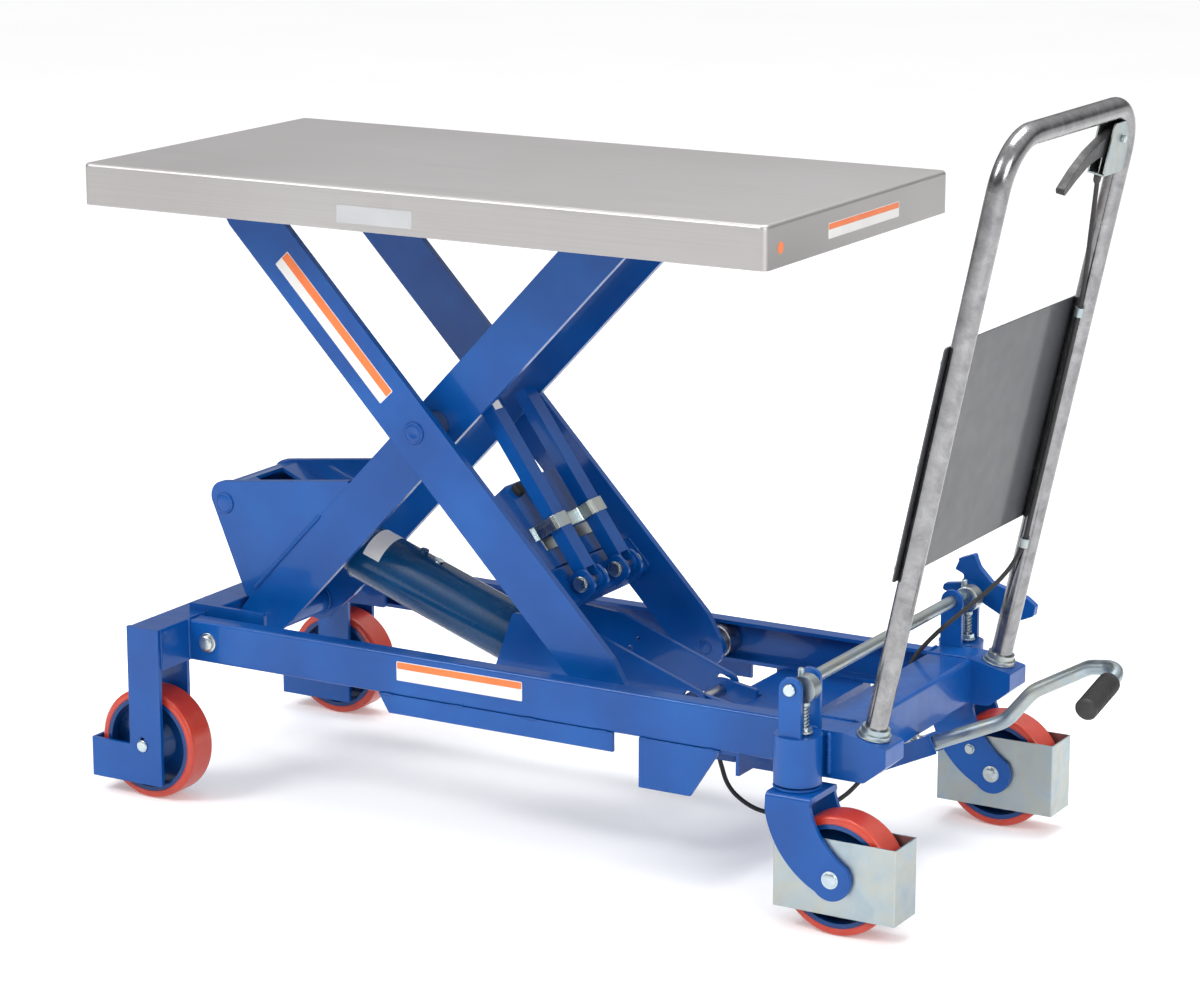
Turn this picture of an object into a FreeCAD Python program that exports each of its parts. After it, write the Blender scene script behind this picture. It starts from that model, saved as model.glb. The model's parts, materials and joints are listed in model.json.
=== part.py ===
import FreeCAD, Part
import math
import os

V = FreeCAD.Vector

# ---------------------------------------------------------------- driving dimensions (mm)
# The layout is drawn from the platform's rear edge (x = 0); every node is then moved by
# ORIGIN_X so that the row frame's origin is under the middle of the object's outer box.

# platform
PLAT_L = 1010.0            # platform length, along X
PLAT_W = 510.0             # platform width, along Y
PLAT_H = 55.0              # depth of the folded skirt
PLAT_SHEET = 3.0           # stainless sheet thickness
PLAT_CORNER = 9.0          # outside radius of the upright corners
PLAT_TOP = 864.0           # height of the platform's top in the stored pose

# scissor
ARM_HALF = 430.0           # centre pivot to each end pivot
ARM_W = 70.0               # depth of each flat arm
ARM_T = 10.0               # thickness of each flat arm
ARM_NOSE = 23.0            # radius of the tapered ends
PIVOT_X = 136.0            # base pivot, from the platform's rear edge
INNER_Y = 70.0             # inner arms, inner face
OUTER_Y = 122.4            # outer arms, inner face
FIT = 0.05                 # radial clearance of the running fits

# base frame
RAIL_Z = 185.0             # underside of the side rails
RAIL_H = 57.0              # height of the side rails
RAIL_T = 5.0               # plate thickness of the rails
RAIL_FLANGE = 25.0         # flange width
RAIL_Y = 192.4             # outer face of the rail webs
BEAM_X0 = 52.0             # rear beam, rear face
BEAM_X1 = 105.0            # rear beam, front face
LEG_Y = 261.0              # outer face of the rear legs
LEG_GAP = 57.0             # space between the two plates of a rear leg
LEG_T = 6.0                # plate thickness of the rear legs
FRONT_X0 = 1038.0          # front beam, rear face
FRONT_X1 = 1102.0          # front beam, front face
FRONT_Z = 180.0            # underside of the front beam

# wheels
WHEEL_R = 76.0             # six inch wheels
WHEEL_W = 46.0             # tread width
BOSS_W = 54.0              # hub boss width
AXLE_R = 8.0               # wheel axle radius
REAR_X = 73.0              # rear axle
SWIVEL_X = 1052.0          # caster swivel axis
SWIVEL_Y = 238.0           # caster swivel axis
TRAIL = 64.0               # swivel axis to caster axle

# handle
TUBE_R = 14.0              # handle tube radius
TUBE_Y = 187.0             # handle tube centreline
TILT = math.radians(12.0)  # handle lean
TUBE_X = 1129.0            # tube centre at the collar
TUBE_Z = 231.0             # height of the collar
HANDLE_TOP = 977.0         # centreline of the top bar
HANDLE_BEND = 62.0         # centreline radius of the two top bends

# hydraulic unit
PIN_X = -48.0              # lift pin, from the base pivot
PIN_Z = 164.5              # lift pin, from the base pivot
UNIT_ANGLE = math.radians(19.5)
FOOT_U = 735.0             # foot shaft, along the cylinder axis from the lift pin
FOOT_N = 58.0              # foot shaft, square to the cylinder axis
CYL_R = 40.0               # cylinder radius
ROD_R = 19.0               # ram radius
CYL_U0 = 187.0             # start of the cylinder, from the lift pin
CYL_U1 = 535.0             # end of the cylinder
FOOT_R = 8.0               # foot shaft radius
RAM_TURN = -0.89           # ram hinge turn per unit of inner frame turn
RAM_SLIDE = 154.0          # cylinder travel in mm per radian of inner frame turn
LOW = math.radians(-32.9)  # inner frame turn at the lowest pose
HIGH = math.radians(15.5)  # inner frame turn at the highest pose

# brake and pedals
BRAKE_Z = 302.6            # brake shaft height
CAM_R = 17.0               # brake cam radius
PUMP_X = 928.0             # foot pedal pivot
PUMP_Z = 120.0             # foot pedal pivot
CABLE_D = 6.0              # release cable sheath
CABLE_Y = 168.0            # release cable beside the handle tube

# ---------------------------------------------------------------- derived layout
BASE_Z = RAIL_Z + RAIL_H / 2.0
RAIL_TOP = RAIL_Z + RAIL_H
HEAD_Z = PLAT_TOP - PLAT_H / 2.0
THETA = math.asin((HEAD_Z - BASE_Z) / (2.0 * ARM_HALF))
REACH_X = PIVOT_X + 2.0 * ARM_HALF * math.cos(THETA)
MID_X = PIVOT_X + ARM_HALF * math.cos(THETA)
MID_Z = BASE_Z + ARM_HALF * math.sin(THETA)
LEG_Y0 = LEG_Y - 2.0 * LEG_T - LEG_GAP
REAR_Y = (LEG_Y + LEG_Y0) / 2.0
CASTER_X = SWIVEL_X + TRAIL
LIFT = V(PIVOT_X + PIN_X, 0, BASE_Z + PIN_Z)
ORIGIN_X = 684.25


def move(shape, x=0.0, y=0.0, z=0.0):
    out = shape.copy()
    out.translate(V(x, y, z))
    return out


def box(x0, x1, y0, y1, z0, z1):
    return Part.makeBox(x1 - x0, y1 - y0, z1 - z0, V(x0, y0, z0))


def rod_y(x, z, r, y0, y1):
    return Part.makeCylinder(r, y1 - y0, V(x, y0, z), V(0, 1, 0))


def rod_z(x, y, r, z0, z1):
    return Part.makeCylinder(r, z1 - z0, V(x, y, z0), V(0, 0, 1))


def tube_y(x, z, r, bore, y0, y1):
    return rod_y(x, z, r, y0, y1).cut(rod_y(x, z, bore, y0 - 1, y1 + 1))


def round_wire(points, radii):
    """Closed wire through the points, each corner rounded with a tangent arc."""
    count = len(points)
    starts = []
    ends = []
    mids = []
    for i in range(count):
        p = points[i]
        a = (points[i - 1] - p).normalize()
        b = (points[(i + 1) % count] - p).normalize()
        r = radii[i] if isinstance(radii, (list, tuple)) else radii
        half = a.getAngle(b) / 2.0
        if r <= 0.01 or half > 1.5:
            starts.append(p)
            ends.append(p)
            mids.append(None)
            continue
        reach = r / math.tan(half)
        centre = p + (a + b).normalize() * (r / math.sin(half))
        starts.append(p + a * reach)
        ends.append(p + b * reach)
        mids.append(centre + (p - centre).normalize() * r)
    edges = []
    for i in range(count):
        if mids[i] is not None:
            edges.append(Part.Arc(starts[i], mids[i], ends[i]).toShape())
        nxt = starts[(i + 1) % count]
        if (nxt - ends[i]).Length > 1e-6:
            edges.append(Part.LineSegment(ends[i], nxt).toShape())
    return Part.Wire(edges)


def plate_xz(points, y0, y1, radii=0.0):
    """Plate with its outline in the XZ plane."""
    wire = round_wire([V(p[0], y0, p[1]) for p in points], radii)
    return Part.Face(wire).extrude(V(0, y1 - y0, 0))


def plate_xy(points, z0, z1, radii=0.0):
    """Plate with its outline in the XY plane."""
    wire = round_wire([V(p[0], p[1], z0) for p in points], radii)
    return Part.Face(wire).extrude(V(0, 0, z1 - z0))


def bar_x(profile, x0, x1):
    """Bar along X with a polygon profile given as (y, z)."""
    pts = [V(x0, p[0], p[1]) for p in profile]
    return Part.Face(Part.makePolygon(pts + [pts[0]])).extrude(V(x1 - x0, 0, 0))


def mirrored(shape):
    return shape.mirror(V(0, 0, 0), V(0, 1, 0))


def both(shape):
    return [shape, mirrored(shape)]


def group(shapes):
    return Part.makeCompound(shapes)


def joined(shapes):
    out = shapes[0]
    for s in shapes[1:]:
        out = out.fuse(s)
    return out.removeSplitter()


NODES = {}


def node(name, shape):
    NODES[name] = move(shape, -ORIGIN_X)


def hexagon_y(x, z, across, y0, y1):
    r = across / 2.0 / math.cos(math.pi / 6.0)
    pts = []
    for i in range(6):
        a = math.pi / 3.0 * i + 0.2
        pts.append((x + r * math.cos(a), z + r * math.sin(a)))
    return plate_xz(pts, y0, y1)


# ---------------------------------------------------------------- base frame
def make_rails():
    y = RAIL_Y
    t = RAIL_T
    f = RAIL_Y - RAIL_FLANGE
    z0 = RAIL_Z
    z1 = RAIL_TOP
    profile = [(f, z0), (y, z0), (y, z1), (f, z1), (f, z1 - t)]
    profile += [(y - t, z1 - t), (y - t, z0 + t), (f, z0 + t)]
    rail = bar_x(profile, BEAM_X1, FRONT_X0)
    edges = []
    for e in rail.Edges:
        p = e.CenterOfMass
        if e.Length > 500 and abs(p.y - y) < 0.01:
            edges.append(e)
    rail = rail.makeFillet(4.0, edges)
    rail = rail.cut(rod_y(PIVOT_X, BASE_Z, 9.0, y - 10, y + 5))
    return both(rail)


def make_rear_beam():
    t = RAIL_T
    top = RAIL_TOP
    y = LEG_Y - LEG_T
    profile_box = box(BEAM_X0, BEAM_X1, -y, y, RAIL_Z, top)
    inner = box(BEAM_X0 + t, BEAM_X1 - t, -y - 1, y + 1, RAIL_Z - 1, top - t)
    beam = profile_box.cut(inner)
    edges = []
    for e in beam.Edges:
        p = e.CenterOfMass
        if e.Length > 400 and abs(p.z - top) < 0.01:
            edges.append(e)
    beam = beam.makeFillet(4.0, edges)
    lug = [(BEAM_X1, 190), (BEAM_X1 + 95, 190), (BEAM_X1 + 95, 252), (BEAM_X1 - 29, 252)]
    lug += [(BEAM_X1 - 29, top), (BEAM_X1, top)]
    plate = plate_xz(lug, 145.0, 151.0, [0, 3, 3, 3, 0, 0])
    plate = plate.cut(rod_y(PIVOT_X, BASE_Z, 9.0, 140, 160))
    stiff = box(BEAM_X0 + t, BEAM_X1 - t, -3, 3, RAIL_Z, top - t)
    return [beam, stiff] + both(plate)


def leg_plate(y0, top):
    x0 = REAR_X - WHEEL_R - 7.0
    pts = [(x0, 22), (104, 22), (104, top), (BEAM_X0, top), (BEAM_X0, 76), (x0, 76)]
    plate = plate_xz(pts, y0, y0 + LEG_T, [0, 2, 0, 0, 3, 0])
    slot = plate_xz([(70, 80), (76, 80), (76, 88), (70, 88)], y0 - 1, y0 + LEG_T + 1, 1.0)
    hole = rod_y(REAR_X, WHEEL_R, AXLE_R, y0 - 1, y0 + LEG_T + 1)
    return plate.cut(hole).cut(slot)


def make_rear_leg():
    outer = leg_plate(LEG_Y - LEG_T, RAIL_TOP)
    inner = leg_plate(LEG_Y0, RAIL_Z)
    x0 = REAR_X - WHEEL_R - 7.0
    back = box(x0 - 4.0, x0, LEG_Y0, LEG_Y, 22, 76)
    edges = []
    for e in back.Edges:
        p = e.CenterOfMass
        if abs(p.x - (x0 - 4.0)) < 0.01 and abs(p.z - 49) < 0.01:
            edges.append(e)
    back = back.makeFillet(3.5, edges)
    return joined([outer, inner, back])


def make_skirts():
    out = []
    y1 = RAIL_Y
    y0 = RAIL_Y - RAIL_T
    z = RAIL_Z
    first = [(411, z), (427, 159.5), (766, 159.5), (766, z)]
    second = [(804, z), (804, 119), (878, 119), (920, z)]
    for pts in (first, second):
        out += both(plate_xz(pts, y0, y1))
    return out


def make_front_beam():
    y = 160.0
    t = 5.0
    beam = box(FRONT_X0, FRONT_X1, -y, y, FRONT_Z, RAIL_TOP)
    edges = []
    for e in beam.Edges:
        if e.Length > 300:
            edges.append(e)
    beam = beam.makeFillet(6.0, edges)
    hollow = box(FRONT_X0 + t, FRONT_X1 - t, -y - 1, y + 1, FRONT_Z + t, RAIL_TOP - t)
    return beam.cut(hollow)


def make_caster_housing():
    x = SWIVEL_X
    y = SWIVEL_Y
    shell = rod_z(x, y, 30.0, RAIL_Z - 4.5, RAIL_TOP)
    shell = shell.cut(rod_z(x, y, 24.0, RAIL_Z - 5.5, RAIL_TOP - 7.0))
    shell = shell.cut(rod_z(x + 8.0, y, 4.0 + FIT, RAIL_TOP - 10, RAIL_TOP + 1))
    parts = [shell]
    for z0 in (RAIL_Z - 4.5, RAIL_TOP - 25.0):
        ring = rod_z(x, y, 24.0, z0, z0 + 12.0)
        parts.append(ring.cut(rod_z(x, y, 15.0 + FIT, z0 - 1, z0 + 13)))
    for y0 in (SWIVEL_Y + 18.0, SWIVEL_Y - 34.0):
        pts = [(x - 15, RAIL_TOP), (x + 15, RAIL_TOP), (x + 15, BRAKE_Z + 15), (x - 15, BRAKE_Z + 15)]
        ear = plate_xz(pts, y0, y0 + 6.0, [0, 0, 14.9, 14.9])
        parts.append(ear.cut(rod_y(x, BRAKE_Z, 8.0 + FIT, y0 - 1, y0 + 7)))
    nut = rod_z(x + 8.0, y, 8.0, RAIL_TOP, RAIL_TOP + 8.0)
    parts.append(nut.cut(rod_z(x + 8.0, y, 4.0 + FIT, RAIL_TOP - 1, RAIL_TOP + 9)))
    return parts


def tube_point(s):
    """Point on the handle leg's centreline at height s, in the XZ plane."""
    return TUBE_X + (s - TUBE_Z) * math.tan(TILT)


def tube_dir():
    return V(math.sin(TILT), 0, math.cos(TILT))


def tube_normal():
    return V(math.cos(TILT), 0, -math.sin(TILT))


def make_handle_socket():
    y0 = 160.0
    y1 = 211.0
    drop = 57.0 * math.tan(TILT)
    pts = [(FRONT_X0, FRONT_Z + 2), (1128, FRONT_Z + 2), (1157, 206)]
    pts += [(1157, RAIL_TOP - drop), (1100, RAIL_TOP), (FRONT_X0, RAIL_TOP)]
    body = plate_xz(pts, y0, y1, [0, 8, 3, 3, 6, 0])
    inner = [(FRONT_X0 + 5, FRONT_Z - 6), (1122, FRONT_Z - 6), (1151.5, 206), (1151.5, RAIL_TOP - drop - 5)]
    inner += [(1099, RAIL_TOP - 5.5), (FRONT_X0 + 5, RAIL_TOP - 5)]
    body = body.cut(plate_xz(inner, y0 + 5, y1 - 5, 0.0))
    body = body.cut(rod_z(SWIVEL_X, SWIVEL_Y, 30.0, 100, 300))
    start = V(tube_point(150.0), TUBE_Y, 150.0)
    body = body.cut(Part.makeCylinder(TUBE_R, 150, start, tube_dir()))
    return body


def make_handle_tube():
    z0 = 196.0
    low = V(tube_point(z0), -TUBE_Y, z0)
    high = V(tube_point(HANDLE_TOP), -TUBE_Y, HANDLE_TOP)
    t = tube_dir()
    across = V(0, 1, 0)
    b = HANDLE_BEND
    c1 = high - t * b + across * b
    m1 = c1 + (t - across).normalize() * b
    far = V(high.x, TUBE_Y, high.z)
    c2 = far - t * b - across * b
    m2 = c2 + (t + across).normalize() * b
    far_low = V(low.x, TUBE_Y, low.z)
    edges = [Part.LineSegment(low, high - t * b).toShape()]
    edges.append(Part.Arc(high - t * b, m1, high + across * b).toShape())
    edges.append(Part.LineSegment(high + across * b, far - across * b).toShape())
    edges.append(Part.Arc(far - across * b, m2, far - t * b).toShape())
    edges.append(Part.LineSegment(far - t * b, far_low).toShape())
    path = Part.Wire(edges)
    outer = Part.Wire([Part.Circle(low, t, TUBE_R).toShape()])
    inner = Part.Wire([Part.Circle(low, t, TUBE_R - 2.0).toShape()])
    tube = path.makePipeShell([outer], True, False)
    bore = path.makePipeShell([inner], True, False)
    return tube.cut(bore)


def make_collar():
    z = RAIL_TOP - 29.0 * math.tan(TILT) + 0.5
    base = V(tube_point(z), TUBE_Y, z)
    t = tube_dir()
    lower = Part.makeCylinder(20.0, 6.0, base, t)
    upper = Part.makeCylinder(17.5, 13.0, base, t)
    ring = lower.fuse(upper)
    return ring.cut(Part.makeCylinder(TUBE_R, 40, base - t * 10, t))


def in_handle(y, s, off=0.0):
    """Point in the handle's plane: y across, s height, off square to the plane."""
    n = tube_normal()
    return V(tube_point(s), y, s) + n * off


def handle_plate(points, off0, off1, radii=0.0):
    wire = round_wire([in_handle(p[0], p[1], off0) for p in points], radii)
    return Part.Face(wire).extrude(tube_normal() * (off1 - off0))


def make_panel():
    z0 = 434.0
    z1 = 726.0
    w = 203.0
    pts = [(-w, z0), (w, z0), (w, z1), (-w, z1)]
    back = TUBE_R + 2.0
    return handle_plate(pts, -back, -TUBE_R, 4.0)


def make_lever_bracket():
    pts = [(116, 898), (180, 898), (180, 962), (116, 962)]
    out = []
    for off in (-11.0, 9.0):
        out.append(handle_plate(pts, off, off + 2.0, [3, 0, 0, 6]))
    web = [(116, 896), (180, 896), (180, 898), (116, 898)]
    out.append(handle_plate(web, -11.0, 11.0, 0.0))
    bracket = joined(out).cut(make_handle_tube())
    bore = Part.makeCylinder(3.0, 30, in_handle(150, 940, -15), tube_normal())
    bracket = bracket.cut(bore)
    pin = Part.makeCylinder(3.0, 25, in_handle(150, 940, -12.5), tube_normal())
    return [bracket, pin]


def make_release_lever():
    pts = [(160, 938), (152, 952), (130, 950), (100, 942), (66, 930), (34, 912), (8, 891)]
    pts += [(14, 884), (42, 900), (72, 914), (100, 920), (128, 918), (142, 926)]
    lever = handle_plate(pts, -5.5, 5.5, [7, 6, 20, 40, 60, 60, 3, 3, 60, 60, 40, 20, 10])
    bore = Part.makeCylinder(3.0 + FIT, 30, in_handle(150, 940, -15), tube_normal())
    return lever.cut(bore)


def cord_points():
    """Route of the release cable, from the lever bracket to the pump's release valve."""
    y_in = CABLE_Y
    keys = [in_handle(126, 894, 0), in_handle(132, 876, 0), in_handle(150, 808, 0.5)]
    keys += [in_handle(163.5, 757, 1.5), in_handle(y_in - 0.6, 725, 2), in_handle(y_in, 700, 2)]
    keys += [in_handle(y_in, 630, 2), in_handle(y_in, 560, 2), in_handle(y_in, 490, 2)]
    keys += [in_handle(y_in, 420, 2), in_handle(y_in - 0.4, 396, 2)]
    keys += [V(1146, 164, 362), V(1096, 144, 310), V(1050, 130, 264), V(1027, 121, 226)]
    keys += [V(1024, 102, 176), V(1020, 58, 128), V(1001, 8, 84), V(958, -26, 60)]
    keys += [V(908, -38, 56), V(866, -42, 70), V(843, -43, 100), V(840, -43, 122)]
    return keys


def smooth(keys, step):
    """Even points along a smooth curve through the keys."""
    curve = Part.BSplineCurve()
    curve.interpolate(keys)
    shape = curve.toShape()
    count = int(round(shape.Length / step))
    return shape.discretize(Number=count + 1), shape.Length


def make_cord(points, radius):
    edges = []
    tight = 1e9
    here = points[0]
    for i in range(1, len(points) - 1):
        p = points[i]
        a = points[i - 1] - p
        b = points[i + 1] - p
        run = 0.45 * min(a.Length, b.Length)
        turn = math.pi - a.getAngle(b)
        if turn < 1e-3:
            continue
        r = run / math.tan(turn / 2.0)
        tight = min(tight, r)
        ua = V(a).normalize()
        ub = V(b).normalize()
        start = p + ua * run
        end = p + ub * run
        centre = p + (ua + ub).normalize() * math.sqrt(r * r + run * run)
        mid = centre + (p - centre).normalize() * r
        edges.append(Part.LineSegment(here, start).toShape())
        edges.append(Part.Arc(start, mid, end).toShape())
        here = end
    edges.append(Part.LineSegment(here, points[-1]).toShape())
    path = Part.Wire(edges)
    first = points[0]
    ring = Part.Wire([Part.Circle(first, points[1] - first, radius).toShape()])
    solid = path.makePipeShell([ring], True, False)
    return solid, path.Length, tight


def make_clips():
    out = []
    for s in (713.0, 406.0):
        c = in_handle(CABLE_Y, s, 2)
        t = tube_dir()
        ring = Part.makeCylinder(CABLE_D / 2.0 + 2.9, 12.0, c - t * 6, t)
        ear = handle_plate([(c.y - 1, s - 6), (c.y + 9, s - 6), (c.y + 9, s + 6), (c.y - 1, s + 6)], 0, 4)
        clip = ring.fuse(ear)
        clip = clip.cut(Part.makeCylinder(CABLE_D / 2.0 + 1.3, 40, c - t * 20, t))
        start = V(tube_point(s - 40), TUBE_Y, s - 40)
        clip = clip.cut(Part.makeCylinder(TUBE_R, 90, start, t))
        out.append(clip.removeSplitter())
    return out


CHAN_X0 = 822.0
CHAN_X1 = 945.0


def foot_point():
    a = UNIT_ANGLE
    along = V(math.cos(a), 0, -math.sin(a))
    up = V(math.sin(a), 0, math.cos(a))
    return LIFT + along * FOOT_U + up * FOOT_N


FOOT = foot_point()


def make_cross_channel():
    y = RAIL_Y - RAIL_T
    t = 5.0
    top = RAIL_Z
    chan = box(CHAN_X0, CHAN_X1, -y, y, top - 30, top)
    chan = chan.cut(box(CHAN_X0 + t, CHAN_X1 - t, -y - 1, y + 1, top - 31, top - t))
    chan = chan.cut(box(CHAN_X0 - 1, CHAN_X0 + 32, -50.5, 50.5, top - 31, top + 1))
    lugs = []
    notch = CHAN_X0 + 32.0
    pts = [(notch + 5, 160), (notch + 5, top - t), (notch - 0.05, top - t), (notch - 0.05, 196)]
    pts += [(FOOT.x + 4, 204), (FOOT.x - 16, 204), (FOOT.x - 16, 170), (FOOT.x - 6, 160)]
    lug = plate_xz(pts, 32.5, 39.5, [0, 0, 0, 4, 6, 14, 10, 4])
    lug = lug.cut(rod_y(FOOT.x, FOOT.z, FOOT_R, 30, 70))
    lugs += both(lug)
    hook = box(918, 924, -120, -112, top, top + 14).fuse(box(912, 930, -120, -112, top + 14, top + 19))
    return [chan, hook.removeSplitter()] + lugs


def make_base_pins():
    out = []
    pivot = rod_y(PIVOT_X, BASE_Z, 9.0, 66.0, RAIL_Y)
    pivot = pivot.fuse(rod_y(PIVOT_X, BASE_Z, 11.0, RAIL_Y, RAIL_Y + 4.5)).removeSplitter()
    out += both(pivot)
    axle = rod_y(REAR_X, WHEEL_R, AXLE_R, LEG_Y0 - 2, LEG_Y + 1.5)
    out += both(axle)
    out.append(rod_y(FOOT.x, FOOT.z, FOOT_R, -52, 52))
    return out


def make_pump():
    top = RAIL_Z - 5.0
    block = box(862, 914, -32, 32, 112, top)
    block = block.fuse(rod_y(888, 146, 28.0, 30, 118))
    block = block.fuse(box(836, 866, -50, -32, 122, 130))
    block = block.fuse(rod_z(840, -43, 6.0, 122, 136))
    block = block.removeSplitter()
    parts = [block]
    for side in (1, -1):
        y0 = 14.0 if side > 0 else -20.0
        pts = [(914, 106), (PUMP_X + 13, 106), (PUMP_X + 13, 134), (914, 134)]
        lug = plate_xz(pts, y0, y0 + 6, [0, 12.9, 12.9, 0])
        parts.append(lug.cut(rod_y(PUMP_X, PUMP_Z, 5.0, y0 - 1, y0 + 7)))
    parts.append(rod_y(PUMP_X, PUMP_Z, 5.0, -22, 22))
    return parts


# ---------------------------------------------------------------- wheels
def wheel_tyre(y, w):
    r = WHEEL_R
    tyre = rod_y(0, 0, r, y - w / 2.0, y + w / 2.0)
    edges = []
    for e in tyre.Edges:
        if abs(e.Length - 2 * math.pi * r) < 0.1:
            edges.append(e)
    tyre = tyre.makeFillet(5.0, edges)
    return tyre.cut(rod_y(0, 0, r - 10.0, y - w, y + w))


def wheel_hub(y, w):
    r = WHEEL_R - 10.0
    rim = tube_y(0, 0, r, r - 6.0, y - w / 2.0, y + w / 2.0)
    web = tube_y(0, 0, r - 5.0, 18.0, y - 6.0, y + 6.0)
    boss = tube_y(0, 0, 22.0, AXLE_R + FIT, y - BOSS_W / 2.0, y + BOSS_W / 2.0)
    out = [rim, web, boss]
    for side in (-1, 1):
        cone = Part.makeCone(34.0, 22.0, 12.0, V(0, y + side * 6.0, 0), V(0, side, 0))
        out.append(cone)
    hub = joined(out)
    return hub.cut(rod_y(0, 0, AXLE_R + FIT, y - 40, y + 40))


def wheel_pair(name, x, y):
    node(name + "_tyre", move(wheel_tyre(y, WHEEL_W), x, 0, WHEEL_R))
    node(name + "_hub", move(wheel_hub(y, WHEEL_W), x, 0, WHEEL_R))


# ---------------------------------------------------------------- casters
def leg_face(y0):
    """Swept fork leg: straight top, curved edges, round end at the axle."""
    ax = CASTER_X
    az = WHEEL_R
    r = 27.0
    x0 = SWIVEL_X - 25.0
    x1 = SWIVEL_X + 36.0
    top = RAIL_Z - 11.0
    a = V(x0, y0, top)
    b = V(x0 - 1.0, y0, 152)
    low_mid = V(x0 + 26.0, y0, 92)
    tangent = math.radians(222.0)
    c = V(ax + r * math.cos(tangent), y0, az + r * math.sin(tangent))
    bottom = V(ax + r * math.cos(math.radians(300)), y0, az + r * math.sin(math.radians(300)))
    out_angle = math.radians(38.0)
    d = V(ax + r * math.cos(out_angle), y0, az + r * math.sin(out_angle))
    up_mid = V(x1 + 14.0, y0, 127)
    e = V(x1 - 1.0, y0, 162)
    f = V(x1, y0, top)
    edges = [Part.LineSegment(a, b).toShape(), Part.Arc(b, low_mid, c).toShape()]
    edges.append(Part.Arc(c, bottom, d).toShape())
    edges.append(Part.Arc(d, up_mid, e).toShape())
    edges.append(Part.LineSegment(e, f).toShape())
    edges.append(Part.LineSegment(f, a).toShape())
    return Part.Face(Part.Wire(edges))


def make_fork(y):
    top = RAIL_Z - 11.0
    half = 37.0
    t = 6.0
    legs = []
    for y0 in (y - half, y + half - t):
        leg = leg_face(y0).extrude(V(0, t, 0))
        legs.append(leg)
    crown = box(SWIVEL_X - 25.0, SWIVEL_X + 36.0, y - half, y + half, top - 8.0, top)
    fork = joined([crown] + legs)
    fork = fork.cut(rod_y(CASTER_X, WHEEL_R, AXLE_R, y - 60, y + 60))
    trim = []
    for e in fork.Edges:
        p = e.CenterOfMass
        if abs(p.z - top) < 0.01 and abs(abs(p.y - y) - half) < 0.01 and e.Length > 40:
            trim.append(e)
    fork = fork.makeFillet(6.0, trim)
    ring = rod_z(SWIVEL_X, y, 24.0, top, RAIL_Z - 4.8)
    stem = rod_z(SWIVEL_X, y, 15.0, top, RAIL_TOP - 18.0)
    stem = stem.fuse(ring).removeSplitter()
    return [fork, stem]


def make_guard(y):
    x0 = SWIVEL_X - 17.0
    x1 = SWIVEL_X + 148.0
    half = 30.0
    outer = box(x0, x1, y - half, y + half, 28, 125)
    outer = outer.cut(box(x0 + 2, x1 - 2, y - half + 2, y + half - 2, 20, 130))
    edges = []
    for e in outer.Edges:
        p = e.CenterOfMass
        on_x = abs(p.x - x0) < 0.01 or abs(p.x - x1) < 0.01
        if on_x and abs(abs(p.y - y) - half) < 0.01 and e.Length > 90:
            edges.append(e)
    outer = outer.makeFillet(1.8, edges)
    return outer.cut(rod_y(CASTER_X, WHEEL_R, AXLE_R, y - 60, y + 60))


def make_caster_axle(y):
    return rod_y(CASTER_X, WHEEL_R, AXLE_R, y - 38.5, y + 38.5)


# ---------------------------------------------------------------- scissor
def arm_profile(x0, z0, x1, z1, nose0, nose1, taper0=50.0, taper1=50.0):
    """Flat arm between two end pivots, with tapered round ends."""
    a = V(x0, 0, z0)
    b = V(x1, 0, z1)
    u = (b - a).normalize()
    n = V(-u.z, 0, u.x)
    h = ARM_W / 2.0
    body = Part.Face(Part.makePolygon([
        a + u * taper0 + n * h, a + u * taper0 - n * h,
        b - u * taper1 - n * h, b - u * taper1 + n * h, a + u * taper0 + n * h]))
    solids = [body.extrude(V(0, ARM_T, 0))]
    for end, way, nose, taper in ((a, u, nose0, taper0), (b, u * -1.0, nose1, taper1)):
        side = n
        wedge = Part.Face(Part.makePolygon([
            end + side * nose, end - side * nose, end + way * taper - side * h,
            end + way * taper + side * h, end + side * nose]))
        solids.append(wedge.extrude(V(0, ARM_T, 0)))
        solids.append(Part.makeCylinder(nose, ARM_T, end, V(0, 1, 0)))
    return joined(solids)


def make_inner_arm(y0):
    arm = arm_profile(PIVOT_X, BASE_Z, REACH_X, HEAD_Z, 30.0, ARM_NOSE)
    arm = move(arm, 0, y0, 0)
    arm = arm.cut(rod_y(PIVOT_X, BASE_Z, 9.0 + FIT, -200, 200))
    arm = arm.cut(rod_y(REACH_X, HEAD_Z, AXLE_R, -200, 200))
    arm = arm.cut(rod_y(MID_X, MID_Z, 12.0 + FIT, -200, 200))
    return arm


def make_outer_arm(y0):
    arm = arm_profile(PIVOT_X, HEAD_Z, REACH_X, BASE_Z, ARM_NOSE, ARM_NOSE + 4.0, 50.0, 33.0)
    arm = move(arm, 0, y0, 0)
    arm = arm.cut(rod_y(PIVOT_X, HEAD_Z, 9.0 + FIT, -200, 200))
    arm = arm.cut(rod_y(REACH_X, BASE_Z, AXLE_R, -200, 200))
    arm = arm.cut(rod_y(MID_X, MID_Z, 12.0, -200, 200))
    return arm


def inner_at(s, n):
    """Point on the inner frame, s along from the centre pivot and n above it."""
    u = V(math.cos(THETA), 0, math.sin(THETA))
    m = V(-math.sin(THETA), 0, math.cos(THETA))
    return V(MID_X, 0, MID_Z) + u * s + m * n


def outer_at(s, n):
    """Point on the outer frame, s down towards the lower end and n above it."""
    u = V(math.cos(THETA), 0, -math.sin(THETA))
    m = V(math.sin(THETA), 0, math.cos(THETA))
    return V(MID_X, 0, MID_Z) + u * s + m * n


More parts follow.
